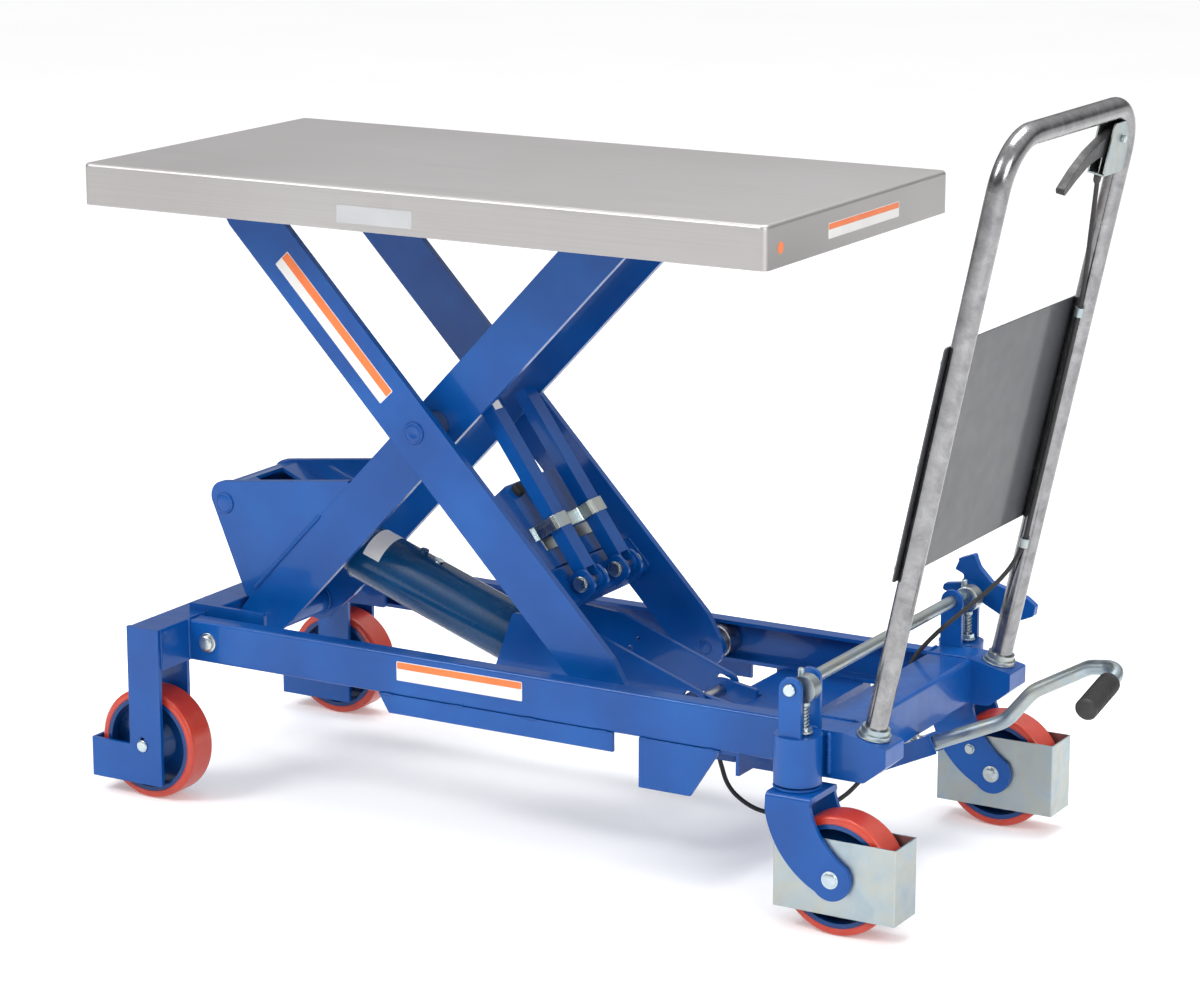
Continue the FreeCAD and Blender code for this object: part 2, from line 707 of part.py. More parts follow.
def make_inner_tubes():
    y = INNER_Y
    low = tube_y(PIVOT_X, BASE_Z, 21.0, 9.0 + FIT, -y, y)
    p = inner_at(345.0, 0.0)
    tie = tube_y(p.x, p.z, 17.0, 13.0, -y, y)
    return [low, tie]


def make_ram_bracket():
    arm = make_inner_arm(INNER_Y)
    edge = [(56, 405), (292, 433), (310, 385), (160, 232), (120, 252)]
    radii = [22, 0, 0, 0, 0]
    plate = plate_xz(edge, INNER_Y, INNER_Y + ARM_T, radii)
    plate = plate.cut(arm).cut(rod_y(PIVOT_X, BASE_Z, 31.0, 0, 200))
    plate = plate.cut(rod_y(LIFT.x, LIFT.z, 12.0, 0, 200))
    best = plate.Solids[0]
    for s in plate.Solids:
        if s.Volume > best.Volume:
            best = s
    y = INNER_Y
    ring = tube_y(LIFT.x, LIFT.z, 26.5, 21.0, -y, y)
    keep = plate_xz([(20, 378), (LIFT.x, 378), (90, 378), (90, 430), (20, 430)], -y, y)
    ring = ring.common(keep)
    fold = plate_xz([(89.9, 399.0), (106, 402.4), (106, 407.4), (89.9, 404.45)], -y, y)
    ring = ring.fuse(fold)
    for side in (-1.0, 1.0):
        y0 = min(side * 32.0, side * y)
        wing = plate_xz([(106, 402.4), (150, 384), (152, 388.6), (107, 407.4)], y0, y0 + y - 32.0)
        ring = ring.fuse(wing)
    ring = ring.removeSplitter()
    return both(best) + [ring]


def make_inner_pins():
    out = [rod_y(LIFT.x, LIFT.z, 12.0, -INNER_Y - ARM_T - 1.0, INNER_Y + ARM_T + 1.0)]
    pin = rod_y(REACH_X, HEAD_Z, AXLE_R, INNER_Y - 4.0, 106.5)
    pin = pin.fuse(tube_y(REACH_X, HEAD_Z, 12.0, AXLE_R - 1, INNER_Y + ARM_T, 82.6))
    out += both(pin.removeSplitter())
    return out


def roller(x, z, y0, y1):
    out = rod_y(x, z, 22.0, y0, y1)
    edges = []
    for e in out.Edges:
        if abs(e.Length - 2 * math.pi * 22.0) < 0.1:
            edges.append(e)
    out = out.makeFillet(1.5, edges)
    return out.cut(rod_y(x, z, AXLE_R + FIT, y0 - 1, y1 + 1))


def plate_outer(points, y0, y1, radii=0.0):
    """Plate in the outer frame's own (s, n) coordinates."""
    pts = []
    for p in points:
        q = outer_at(p[0], p[1])
        pts.append((q.x, q.z))
    return plate_xz(pts, y0, y1, radii)


PROP_S = 286.0
PROP_N = 26.0
PROP_Y = 45.0


def make_crossmember():
    beam = plate_outer([(246, -26), (300, -26), (300, 8), (246, 8)], -OUTER_Y, OUTER_Y, 5.0)
    inner = plate_outer([(251, -21), (295, -21), (295, 3), (251, 3)], -OUTER_Y - 1, OUTER_Y + 1)
    beam = beam.cut(inner)
    web = plate_outer([(120, 12), (246, 2), (246, 8), (120, 18)], -62, 62)
    parts = [beam, web]
    for y0 in (-62.0, 56.0):
        side = [(120, -32), (150, -48), (228, -34), (246, -24), (246, 3), (120, 13)]
        parts.append(plate_outer(side, y0, y0 + 6, [8, 12, 20, 0, 0, 0]))
    body = joined(parts)
    lugs = []
    for y0 in (PROP_Y - 20.0, PROP_Y + 14.5):
        pts = [(268, 8), (304, 8), (304, 40), (268, 40)]
        lug = plate_outer(pts, y0, y0 + 5.0, [0, 0, 13, 13])
        p = outer_at(PROP_S, PROP_N)
        lugs.append(lug.cut(rod_y(p.x, p.z, 5.0, y0 - 1, y0 + 6)))
    out = [body]
    for lug in lugs:
        out += both(lug)
    return out


def make_outer_pins():
    out = []
    y0 = INNER_Y - 3.0
    y1 = OUTER_Y + ARM_T + 1.0
    pin = rod_y(MID_X, MID_Z, 12.0, y0, y1)
    spacer = tube_y(MID_X, MID_Z, 21.0, 11.0, INNER_Y + ARM_T + 0.5, OUTER_Y)
    out += both(pin.fuse(spacer).removeSplitter())
    axle = rod_y(REACH_X, BASE_Z, AXLE_R, OUTER_Y - 0.4, RAIL_Y - RAIL_T - 0.8)
    spacer = tube_y(REACH_X, BASE_Z, 13.0, AXLE_R - 1, OUTER_Y + ARM_T, 153.4)
    out += both(axle.fuse(spacer).removeSplitter())
    p = outer_at(PROP_S, PROP_N)
    for y in (PROP_Y, -PROP_Y):
        bolt = rod_y(p.x, p.z, 5.0, y - 22, y + 22)
        head = hexagon_y(p.x, p.z, 17.0, y - 26.5, y - 20.0)
        nut = hexagon_y(p.x, p.z, 17.0, y + 20.0, y + 26.5)
        out.append(bolt.fuse(head).fuse(nut).removeSplitter())
    return out


def make_strap():
    pts = [(206, 11.2), (222, 9.95), (222, 11.95), (206, 13.2)]
    return plate_outer(pts, -62.0, 62.0)


def make_prop(y):
    """Maintenance prop: folded channel, closed side up, on the crossmember's bolt."""
    a = outer_at(PROP_S, PROP_N)
    b = outer_at(18.0, 66.0)
    u = (b - a).normalize()
    n = V(-u.z, 0, u.x)
    if n.z < 0:
        n = n * -1.0
    w = 13.0
    h = 9.5
    t = 3.0
    start = a + u * 16.0
    length = (b - a).Length - 16.0

    def slab(n0, n1, y0, y1, s0, s1):
        p = [start + u * s0 + n * n0, start + u * s1 + n * n0]
        p += [start + u * s1 + n * n1, start + u * s0 + n * n1]
        pts = [V(q.x, y0, q.z) for q in p]
        return Part.Face(Part.makePolygon(pts + [pts[0]])).extrude(V(0, y1 - y0, 0))

    top = slab(h - t, h, y - w, y + w, 0, length)
    parts = [top]
    for y0 in (y - w, y + w - t):
        side = slab(-h, h, y0, y0 + t, -16.0, length)
        ear = rod_y(a.x, a.z, 12.0, y0, y0 + t)
        parts.append(side.fuse(ear))
    body = joined(parts)
    return body.cut(rod_y(a.x, a.z, 5.0 + FIT, y - 30, y + 30))


# ---------------------------------------------------------------- platform
def make_pan():
    x1 = PLAT_L
    w = PLAT_W / 2.0
    z0 = PLAT_TOP - PLAT_H
    z1 = PLAT_TOP
    c = PLAT_CORNER
    t = PLAT_SHEET
    outer = plate_xy([(0, -w), (x1, -w), (x1, w), (0, w)], z0, z1, c)
    edges = []
    for e in outer.Edges:
        if abs(e.CenterOfMass.z - z1) < 0.01:
            edges.append(e)
    outer = outer.makeFillet(5.0, edges)
    pts = [(t, -w + t), (x1 - t, -w + t), (x1 - t, w - t), (t, w - t)]
    inner = plate_xy(pts, z0 - 1, z1 - t, c - t)
    return outer.cut(inner)


def make_guides():
    z0 = PLAT_TOP - PLAT_H + 0.5
    z1 = PLAT_TOP - PLAT_SHEET
    profile = [(84, z0), (112, z0), (112, z1), (108, z1), (108, z0 + 4), (84, z0 + 4)]
    guide = bar_x(profile, 500, PLAT_L - 4.0)
    return both(guide)


def make_lugs():
    out = []
    z1 = PLAT_TOP - PLAT_SHEET
    pts = [(106, 814), (166, 814), (176, z1), (96, z1)]
    lug = plate_xz(pts, 136.0, 146.0, [14, 14, 0, 0])
    pin = rod_y(PIVOT_X, HEAD_Z, 9.0, OUTER_Y - 3.0, 148.0)
    head = rod_y(PIVOT_X, HEAD_Z, 13.0, 146.0, 150.0)
    out += both(lug.fuse(pin).fuse(head).removeSplitter())
    return out


# ---------------------------------------------------------------- hydraulic unit
def unit_at(u, n):
    a = UNIT_ANGLE
    along = V(math.cos(a), 0, -math.sin(a))
    up = V(math.sin(a), 0, math.cos(a))
    return LIFT + along * u + up * n


def make_ram():
    along = (unit_at(1, 0) - unit_at(0, 0)).normalize()
    eye = rod_y(LIFT.x, LIFT.z, 19.5, -30, 30)
    rod = Part.makeCylinder(ROD_R, 405.0, unit_at(4, 0), along)
    body = eye.fuse(rod).removeSplitter()
    return body.cut(rod_y(LIFT.x, LIFT.z, 12.0 + FIT, -40, 40))


def make_cylinder():
    along = (unit_at(1, 0) - unit_at(0, 0)).normalize()
    length = CYL_U1 - CYL_U0
    tube = Part.makeCylinder(CYL_R, length, unit_at(CYL_U0, 0), along)
    tube = tube.cut(Part.makeCylinder(30.0, length - 34.0, unit_at(CYL_U0 + 14, 0), along))
    head = Part.makeCylinder(CYL_R - 3.5, 12.0, unit_at(CYL_U0 - 12, 0), along)
    tube = tube.fuse(head).removeSplitter()
    tube = tube.cut(Part.makeCylinder(ROD_R + FIT, 60.0, unit_at(CYL_U0 - 20, 0), along))
    up = (unit_at(0, 1) - unit_at(0, 0)).normalize()
    plug = Part.makeCylinder(6.0, 9.0, unit_at(CYL_U0 + 88, CYL_R - 3), up)
    plug = plug.cut(Part.makeCylinder(CYL_R - 0.5, length, unit_at(CYL_U0, 0), along))
    return [tube, plug]


def turned(p, centre, a):
    x = p.x - centre.x
    z = p.z - centre.z
    return V(centre.x + x * math.cos(a) - z * math.sin(a), 0, centre.z + x * math.sin(a) + z * math.cos(a))


def foot_track():
    """Where the foot shaft sits in the unit's own axes over the whole lift."""
    track = []
    base = V(PIVOT_X, 0, BASE_Z)
    for i in range(41):
        q = LOW + (HIGH - LOW) * i / 40.0
        pin = turned(LIFT, base, q)
        turn = q + RAM_TURN * q
        a = UNIT_ANGLE - turn
        along = V(math.cos(a), 0, -math.sin(a))
        up = V(math.sin(a), 0, math.cos(a))
        d = FOOT - pin
        track.append((d.dot(along) - RAM_SLIDE * q, d.dot(up)))
    return track


def make_yoke():
    shape = [(451, -48), (451, 51), (500, 67), (560, 83), (FOOT_U - 24, 83)]
    track = foot_track()
    u0 = min(p[0] for p in track) - FOOT_R - 1.0
    u1 = max(p[0] for p in track) + FOOT_R + 1.0
    n0 = min(p[1] for p in track) - FOOT_R - 1.0
    n1 = max(p[1] for p in track) + FOOT_R + 1.0
    shape += [(u1 + 7, n1 + 7), (u1 + 7, n0 - 7), (FOOT_U - 40, n0 - 7), (625, 40), (590, 4), (575, -48)]
    print("foot slot u %.1f..%.1f n %.1f..%.1f" % (u0, u1, n0, n1))
    pts = []
    for p in shape:
        q = unit_at(p[0], p[1])
        pts.append((q.x, q.z))
    plate = plate_xz(pts, 42.0, 48.0, [4, 6, 30, 30, 10, 14, 14, 20, 30, 20, 4])
    slot = []
    for p in ((u0, n0), (u1, n0), (u1, n1), (u0, n1)):
        q = unit_at(p[0], p[1])
        slot.append((q.x, q.z))
    plate = plate.cut(plate_xz(slot, 40.0, 50.0, 7.5))
    for p in ((597, 62), (590, 45)):
        q = unit_at(p[0], p[1])
        plate = plate.cut(rod_y(q.x, q.z, 3.3, 40, 50))
    out = both(plate)
    along = (unit_at(1, 0) - unit_at(0, 0)).normalize()
    ring = Part.makeCylinder(CYL_R + 2.0, 12.0, unit_at(CYL_U1 - 40, 0), along)
    pts = []
    for p in ((CYL_U1, -40), (CYL_U1 + 10, -40), (CYL_U1 + 10, 40), (CYL_U1, 40)):
        q = unit_at(p[0], p[1])
        pts.append((q.x, q.z))
    out.append(plate_xz(pts, -42.0, 42.0))
    ring = ring.cut(Part.makeCylinder(CYL_R, 20.0, unit_at(CYL_U1 - 44, 0), along))
    ring = ring.cut(box(0, 2000, 42, 60, -500, 1500)).cut(box(0, 2000, -60, -42, -500, 1500))
    out.append(ring)
    return out


# ---------------------------------------------------------------- brake
def make_brake_shaft():
    x = SWIVEL_X
    y_end = SWIVEL_Y + 26.5
    out = rod_y(x, BRAKE_Z, 8.0, -y_end, y_end)
    for side in (1, -1):
        y0 = side * SWIVEL_Y - 9.0
        cam = rod_y(x + 9.5, BRAKE_Z - 2.1, CAM_R, y0, y0 + 18.0)
        out = out.fuse(cam)
        out = out.fuse(rod_z(x + 3.0, side * SWIVEL_Y, 4.0, BRAKE_Z + 10, BRAKE_Z + 21))
    return out.removeSplitter()


def make_brake_pedal():
    y0 = SWIVEL_Y + 24.5
    x = SWIVEL_X
    z = BRAKE_Z
    pts = [(x - 38, z + 6), (x - 40, z - 2), (x - 14, z - 10), (x + 16, z - 12), (x + 62, z - 35)]
    pts += [(x + 92, z - 22), (x + 94, z - 8), (x + 80, z + 2), (x + 30, z + 16), (x + 12, z + 34)]
    pts += [(x + 4, z + 52), (x - 16, z + 42), (x - 22, z + 28), (x - 8, z + 22), (x - 12, z + 10)]
    radii = [3, 3, 10, 12, 6, 5, 4, 10, 12, 14, 4, 3, 2, 5, 6]
    body = plate_xz(pts, y0, y0 + 11.0, radii)
    foot_pts = [(x + 60, z - 33), (x + 90, z - 20), (x + 92, z - 9), (x + 64, z - 22)]
    foot = plate_xz(foot_pts, y0, 275.0, 2.0)
    toe_pts = [(x - 18, z + 43), (x + 4, z + 51), (x + 7, z + 45), (x - 15, z + 36)]
    toe = plate_xz(toe_pts, y0, 275.0, 2.0)
    body = joined([body, foot, toe])
    hole = rod_y(x, z, 8.0, y0 - 1, y0 + 2.0)
    return body.cut(hole)


def make_plunger(side):
    x = SWIVEL_X + 8.0
    y = side * SWIVEL_Y
    stem = rod_z(x, y, 4.0, RAIL_TOP - 10.0, BRAKE_Z - 2.1 - CAM_R - 0.7)
    cap = rod_z(x, y, 7.0, BRAKE_Z - 2.1 - CAM_R - 5.0, BRAKE_Z - 2.1 - CAM_R - 0.7)
    return stem.fuse(cap).removeSplitter()


def make_spring(side):
    """Coil between the plunger's cap and the guide bush."""
    x = SWIVEL_X + 8.0
    y = side * SWIVEL_Y
    z0 = RAIL_TOP + 9.0
    z1 = BRAKE_Z - 2.1 - CAM_R - 6.2
    height = z1 - z0
    helix = Part.makeHelix(height / 6.0, height, 5.6)
    ring = Part.Wire([Part.Circle(V(5.6, 0, 0), V(0, 1, 0), 0.8).toShape()])
    coil = Part.Wire(helix.Edges).makePipeShell([ring], True, True)
    return move(coil, x, y, z0)


# ---------------------------------------------------------------- foot pedal
def channel_run(p0, p1, w, h, t, cap):
    """Folded channel, open side down, from p0 to p1 in the XZ plane."""
    a = V(p0[0], 0, p0[1])
    b = V(p1[0], 0, p1[1])
    u = (b - a).normalize()
    n = V(-u.z, 0, u.x)

    def quad(n0, n1, y0, y1):
        pts = [a + n * n0, b + n * n0, b + n * n1, a + n * n1]
        pts = [V(q.x, y0, q.z) for q in pts]
        return Part.Face(Part.makePolygon(pts + [pts[0]])).extrude(V(0, y1 - y0, 0))

    parts = [quad(-h, h, -w, -w + t), quad(-h, h, w - t, w)]
    if cap:
        parts.append(quad(h - t, h, -w, w))
    return parts


def make_pedal_channel():
    w = 13.0
    parts = []
    h = 12.5
    bend = (1036, 134)
    parts += channel_run((PUMP_X, PUMP_Z), bend, w, h, 3.0, False)
    parts += channel_run((950, 122.85), bend, w, h, 3.0, True)
    parts += channel_run(bend, (1128, 177), w, h, 3.0, True)
    for y0 in (-w, w - 3.0):
        parts.append(rod_y(PUMP_X, PUMP_Z, h, y0, y0 + 3.0))
        parts.append(rod_y(bend[0], bend[1], h, y0, y0 + 3.0))
    parts.append(tube_y(PUMP_X, PUMP_Z, 9.0, 5.0 + FIT, -w, w))
    body = joined(parts)
    return body.cut(rod_y(PUMP_X, PUMP_Z, 5.0 + FIT, -40, 40))


PEDAL_PATH = [(1096, 0, 162.04, 0), (1150, 0, 187.28, 60), (1222, 0, 220, 50), (1258, 0, 264, 50),
              (1332, 0, 306, 30), (1376, -4, 313, 24), (1370, -96, 286, 0)]


def make_pedal_tube():
    """Bent tube swept along straight runs and tangent arcs."""
    edges = []
    here = V(*PEDAL_PATH[0][:3])
    first = here
    for i in range(1, len(PEDAL_PATH) - 1):
        p = V(*PEDAL_PATH[i][:3])
        ua = (V(*PEDAL_PATH[i - 1][:3]) - p).normalize()
        ub = (V(*PEDAL_PATH[i + 1][:3]) - p).normalize()
        r = PEDAL_PATH[i][3]
        half = ua.getAngle(ub) / 2.0
        reach = r / math.tan(half)
        centre = p + (ua + ub).normalize() * (r / math.sin(half))
        mid = centre + (p - centre).normalize() * r
        edges.append(Part.LineSegment(here, p + ua * reach).toShape())
        edges.append(Part.Arc(p + ua * reach, mid, p + ub * reach).toShape())
        here = p + ub * reach
    edges.append(Part.LineSegment(here, V(*PEDAL_PATH[-1][:3])).toShape())
    path = Part.Wire(edges)
    direction = V(*PEDAL_PATH[1][:3]) - first
    ring = Part.Wire([Part.Circle(first, direction, 9.5).toShape()])
    return path.makePipeShell([ring], True, False)


def make_grip():
    end = V(*PEDAL_PATH[-1][:3])
    u = (end - V(*PEDAL_PATH[-2][:3])).normalize()
    a = end - u * 62.0
    grip = Part.makeCylinder(14.5, 72.0, a, u)
    edges = []
    for e in grip.Edges:
        if abs(e.Length - 2 * math.pi * 14.5) < 0.1:
            edges.append(e)
    grip = grip.makeFillet(3.0, edges)
    return grip.cut(Part.makeCylinder(9.5, 62.0, a, u))


# ---------------------------------------------------------------- assemble the nodes
node("side_rails", group(make_rails()))
node("rear_beam", group(make_rear_beam()))
node("rear_legs", group(both(make_rear_leg())))
node("skirt_plates", group(make_skirts()))
node("front_beam", make_front_beam())
housing = make_caster_housing()
node("caster_housings", group(housing + [mirrored(s) for s in housing]))
node("handle_sockets", group(both(make_handle_socket())))
node("cross_channel", group(make_cross_channel()))
node("base_pins", group(make_base_pins()))
node("handle_tube", make_handle_tube())
node("handle_collars", group(both(make_collar())))
node("control_panel", make_panel())
node("lever_bracket", group(make_lever_bracket()))
node("cable_clips", group(make_clips()))
route, route_length = smooth(cord_points(), 42.0)
cable, cable_length, cable_radius = make_cord(route, CABLE_D / 2.0)
section = math.pi * (CABLE_D / 2.0) ** 2
print("cable length %.1f tightest radius %.1f" % (cable_length, cable_radius))
print("cable volume ratio %.4f" % (cable.Volume / (section * cable_length)))
node("release_cable", cable)
node("pump_body", group(make_pump()))

wheel_pair("rear_near", REAR_X, -REAR_Y)
wheel_pair("rear_far", REAR_X, REAR_Y)
wheel_pair("caster_near", CASTER_X, -SWIVEL_Y)
wheel_pair("caster_far", CASTER_X, SWIVEL_Y)
for side_name, side in (("near", -1), ("far", 1)):
    node("fork_" + side_name, group(make_fork(side * SWIVEL_Y)))
    node("guard_" + side_name, make_guard(side * SWIVEL_Y))
    node("axle_" + side_name, make_caster_axle(side * SWIVEL_Y))

node("inner_arms", group([make_inner_arm(INNER_Y), make_inner_arm(-INNER_Y - ARM_T)]))
node("inner_tubes", group(make_inner_tubes()))
node("ram_bracket", group(make_ram_bracket()))
node("inner_pins", group(make_inner_pins()))
node("upper_roller_near", roller(REACH_X, HEAD_Z, -105.0, -83.0))
node("upper_roller_far", roller(REACH_X, HEAD_Z, 83.0, 105.0))
node("outer_arms", group([make_outer_arm(OUTER_Y), make_outer_arm(-OUTER_Y - ARM_T)]))
node("crossmember", group(make_crossmember()))
node("outer_pins", group(make_outer_pins()))
node("prop_strap", make_strap())
node("lower_roller_near", roller(REACH_X, BASE_Z, -184.0, -154.0))
node("lower_roller_far", roller(REACH_X, BASE_Z, 154.0, 184.0))
node("prop_near", make_prop(-PROP_Y))
node("prop_far", make_prop(PROP_Y))
node("platform_pan", make_pan())
node("platform_guides", group(make_guides()))
node("platform_lugs", group(make_lugs()))
node("ram", make_ram())
node("cylinder", group(make_cylinder()))
node("yoke_plates", group(make_yoke()))
node("brake_shaft", make_brake_shaft())
node("brake_pedal", make_brake_pedal())
node("plunger_near", make_plunger(-1))
node("plunger_far", make_plunger(1))
node("brake_springs", group([make_spring(-1), make_spring(1)]))
node("release_lever", make_release_lever())
node("pedal_channel", make_pedal_channel())
node("pedal_tube", make_pedal_tube())
node("pedal_grip", make_grip())

os.makedirs("parts", exist_ok=True)
total = FreeCAD.BoundBox()
for name, shape in NODES.items():
    if not shape.isValid():
        print("invalid", name)
    for solid in shape.Solids:
        if solid.Volume <= 0:
            print("bad volume", name)
    total.add(shape.BoundBox)
    shape.exportStep("parts/" + name + ".step")
print(len(NODES), "nodes")
print("box", round(total.XMin, 1), round(total.XMax, 1), round(total.YMin, 1), round(total.YMax, 1))
print("box z", round(total.ZMin, 1), round(total.ZMax, 1))
print("foot", round(FOOT.x, 2), round(FOOT.z, 2), "theta", round(math.degrees(THETA), 3))
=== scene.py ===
import bpy, bmesh, math, random, json
from mathutils import Vector, Matrix, noise as mnoise


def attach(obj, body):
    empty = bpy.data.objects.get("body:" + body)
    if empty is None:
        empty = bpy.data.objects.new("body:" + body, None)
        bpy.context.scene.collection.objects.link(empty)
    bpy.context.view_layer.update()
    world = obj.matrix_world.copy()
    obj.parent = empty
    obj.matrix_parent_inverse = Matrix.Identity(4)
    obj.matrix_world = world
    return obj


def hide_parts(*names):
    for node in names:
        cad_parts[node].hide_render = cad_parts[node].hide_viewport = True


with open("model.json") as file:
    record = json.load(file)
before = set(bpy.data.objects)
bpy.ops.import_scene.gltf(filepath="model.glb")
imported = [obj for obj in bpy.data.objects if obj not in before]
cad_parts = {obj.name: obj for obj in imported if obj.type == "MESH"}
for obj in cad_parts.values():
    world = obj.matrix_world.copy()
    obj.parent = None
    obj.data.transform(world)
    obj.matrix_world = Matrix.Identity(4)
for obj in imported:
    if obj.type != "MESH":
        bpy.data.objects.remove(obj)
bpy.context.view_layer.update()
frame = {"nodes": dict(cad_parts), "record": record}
nodes = frame["nodes"]
OX = 684.25


def L(x, y, z):
    """Layout millimetres (x from the platform's rear edge) to frame metres."""
    return Vector(((x - OX) / 1000.0, y / 1000.0, z / 1000.0))


def V3(x, y, z):
    return Vector((x, y, z))


# ------------------------------------------------------------------ materials
def new_mat(name):
    m = bpy.data.materials.new(name)
    m.use_nodes = True
    nt = m.node_tree
    for n in list(nt.nodes):
        nt.nodes.remove(n)
    out = nt.nodes.new("ShaderNodeOutputMaterial")
    p = nt.nodes.new("ShaderNodeBsdfPrincipled")
    nt.links.new(p.outputs["BSDF"], out.inputs["Surface"])
    return m, nt, p


def coords(nt, scale=(1, 1, 1), rot=(0, 0, 0)):
    tc = nt.nodes.new("ShaderNodeTexCoord")
    mp = nt.nodes.new("ShaderNodeMapping")
    mp.inputs["Scale"].default_value = scale
    mp.inputs["Rotation"].default_value = rot
    nt.links.new(tc.outputs["Object"], mp.inputs["Vector"])
    return mp.outputs["Vector"]


def noise(nt, vec, scale, detail=4.0, rough=0.55, dist=0.0):
    n = nt.nodes.new("ShaderNodeTexNoise")
    n.inputs["Scale"].default_value = scale
    n.inputs["Detail"].default_value = detail
    n.inputs["Roughness"].default_value = rough
    n.inputs["Distortion"].default_value = dist
    nt.links.new(vec, n.inputs["Vector"])
    return n.outputs["Fac"]


def ramp(nt, fac, stops):
    r = nt.nodes.new("ShaderNodeValToRGB")
    cr = r.color_ramp
    while len(cr.elements) > 1:
        cr.elements.remove(cr.elements[-1])
    cr.elements[0].position = stops[0][0]
    cr.elements[0].color = tuple(stops[0][1]) + (1.0,)
    for pos, col in stops[1:]:
        e = cr.elements.new(pos)
        e.color = tuple(col) + (1.0,)
    nt.links.new(fac, r.inputs["Fac"])
    return r.outputs["Color"]


def span(nt, fac, lo, hi, a=0.3, b=0.7):
    m = nt.nodes.new("ShaderNodeMapRange")
    m.inputs["From Min"].default_value = a
    m.inputs["From Max"].default_value = b
    m.inputs["To Min"].default_value = lo
    m.inputs["To Max"].default_value = hi
    nt.links.new(fac, m.inputs["Value"])
    return m.outputs["Result"]


def mix(nt, fac, a, b, mode="MIX"):
    m = nt.nodes.new("ShaderNodeMix")
    m.data_type = "RGBA"
    m.blend_type = mode
    for val, sock in ((fac, m.inputs[0]), (a, m.inputs[6]), (b, m.inputs[7])):
        if isinstance(val, (int, float)):
            sock.default_value = val
        elif isinstance(val, tuple):
            sock.default_value = val + (1.0,)
        else:
            nt.links.new(val, sock)
    return m.outputs[2]


def bump(nt, p, height, strength, dist, edge=0.0):
    b = nt.nodes.new("ShaderNodeBump")
    b.inputs["Strength"].default_value = strength
    b.inputs["Distance"].default_value = dist
    nt.links.new(height, b.inputs["Height"])
    if edge > 0:
        bv = nt.nodes.new("ShaderNodeBevel")
        bv.samples = 4
        bv.inputs["Radius"].default_value = edge
        nt.links.new(bv.outputs["Normal"], b.inputs["Normal"])
    nt.links.new(b.outputs["Normal"], p.inputs["Normal"])


def setp(p, **k):
    for key, val in k.items():
        p.inputs[key.replace("_", " ")].default_value = val


def paint_mat(name, base, dark, light, rough=(0.30, 0.42), peel=0.10):
    m, nt, p = new_mat(name)
    v = coords(nt)
    big = noise(nt, v, 9.0, 3.0)
    col = ramp(nt, big, [(0.30, dark), (0.5, base), (0.72, light)])
    dust = noise(nt, v, 260.0, 5.0, 0.7)
    col = mix(nt, span(nt, dust, 0.0, 0.10, 0.55, 0.8), col, light)
    nt.links.new(col, p.inputs["Base Color"])
    nt.links.new(span(nt, noise(nt, v, 38.0, 4.0), rough[0], rough[1]), p.inputs["Roughness"])
    bump(nt, p, noise(nt, v, 420.0, 2.0, 0.4), peel, 0.0006, 0.0011)
    setp(p, Specular_IOR_Level=0.22, Coat_Weight=0.35, Coat_Roughness=0.07, Coat_IOR=1.45)
    return m


def stainless_mat(name):
    m, nt, p = new_mat(name)
    along = coords(nt, (1.2, 420.0, 420.0))
    streak = noise(nt, along, 2.2, 6.0, 0.7)
    fine = noise(nt, coords(nt, (6.0, 1500.0, 1500.0)), 1.0, 3.0, 0.6)
    patch = noise(nt, coords(nt), 2.3, 3.0, 0.5, 0.4)
    col = ramp(nt, patch, [(0.25, (0.420, 0.406, 0.400)), (0.75, (0.485, 0.473, 0.468))])
    col = mix(nt, span(nt, streak, 0.0, 0.35, 0.35, 0.7), col, (0.375, 0.362, 0.355))
    col = mix(nt, span(nt, fine, 0.0, 0.18, 0.45, 0.75), col, (0.56, 0.55, 0.54))
    nt.links.new(col, p.inputs["Base Color"])
    nt.links.new(span(nt, streak, 0.38, 0.52), p.inputs["Roughness"])
    bump(nt, p, fine, 0.10, 0.0002, 0.0016)
    setp(p, Metallic=1.0)
    return m


def zinc_mat(name, tint=1.0, rough=(0.30, 0.46)):
    m, nt, p = new_mat(name)
    v = coords(nt)
    cloud = noise(nt, v, 16.0, 4.0, 0.6, 0.8)
    tones = [(0.25, (0.29, 0.36, 0.41)), (0.45, (0.36, 0.42, 0.44)), (0.60, (0.40, 0.42, 0.39)), (0.8, (0.33, 0.39, 0.42))]
    col = ramp(nt, cloud, [(at, tuple(c * tint for c in tone)) for at, tone in tones])
    spots = noise(nt, v, 190.0, 5.0, 0.75)
    col = mix(nt, span(nt, spots, 0.0, 0.35, 0.58, 0.78), col, (0.46, 0.48, 0.48))
    nt.links.new(col, p.inputs["Base Color"])
    nt.links.new(span(nt, noise(nt, v, 60.0, 4.0), rough[0], rough[1]), p.inputs["Roughness"])
    bump(nt, p, spots, 0.08, 0.0003, 0.0006)
    setp(p, Metallic=1.0)
    return m


def tube_mat(name):
    m, nt, p = new_mat(name)
    v = coords(nt)
    mottled = noise(nt, v, 46.0, 6.0, 0.7, 0.5)
    col = ramp(nt, mottled, [(0.3, (0.17, 0.17, 0.175)), (0.55, (0.27, 0.27, 0.275)), (0.75, (0.36, 0.36, 0.36))])
    stain = noise(nt, coords(nt, (1, 1, 0.25)), 30.0, 5.0, 0.8)
    col = mix(nt, span(nt, stain, 0.0, 0.4, 0.6, 0.8), col, (0.30, 0.295, 0.29))
    nt.links.new(col, p.inputs["Base Color"])
    nt.links.new(span(nt, mottled, 0.15, 0.30), p.inputs["Roughness"])
    bump(nt, p, noise(nt, v, 160.0, 4.0), 0.06, 0.0004)
    setp(p, Metallic=1.0)
    return m


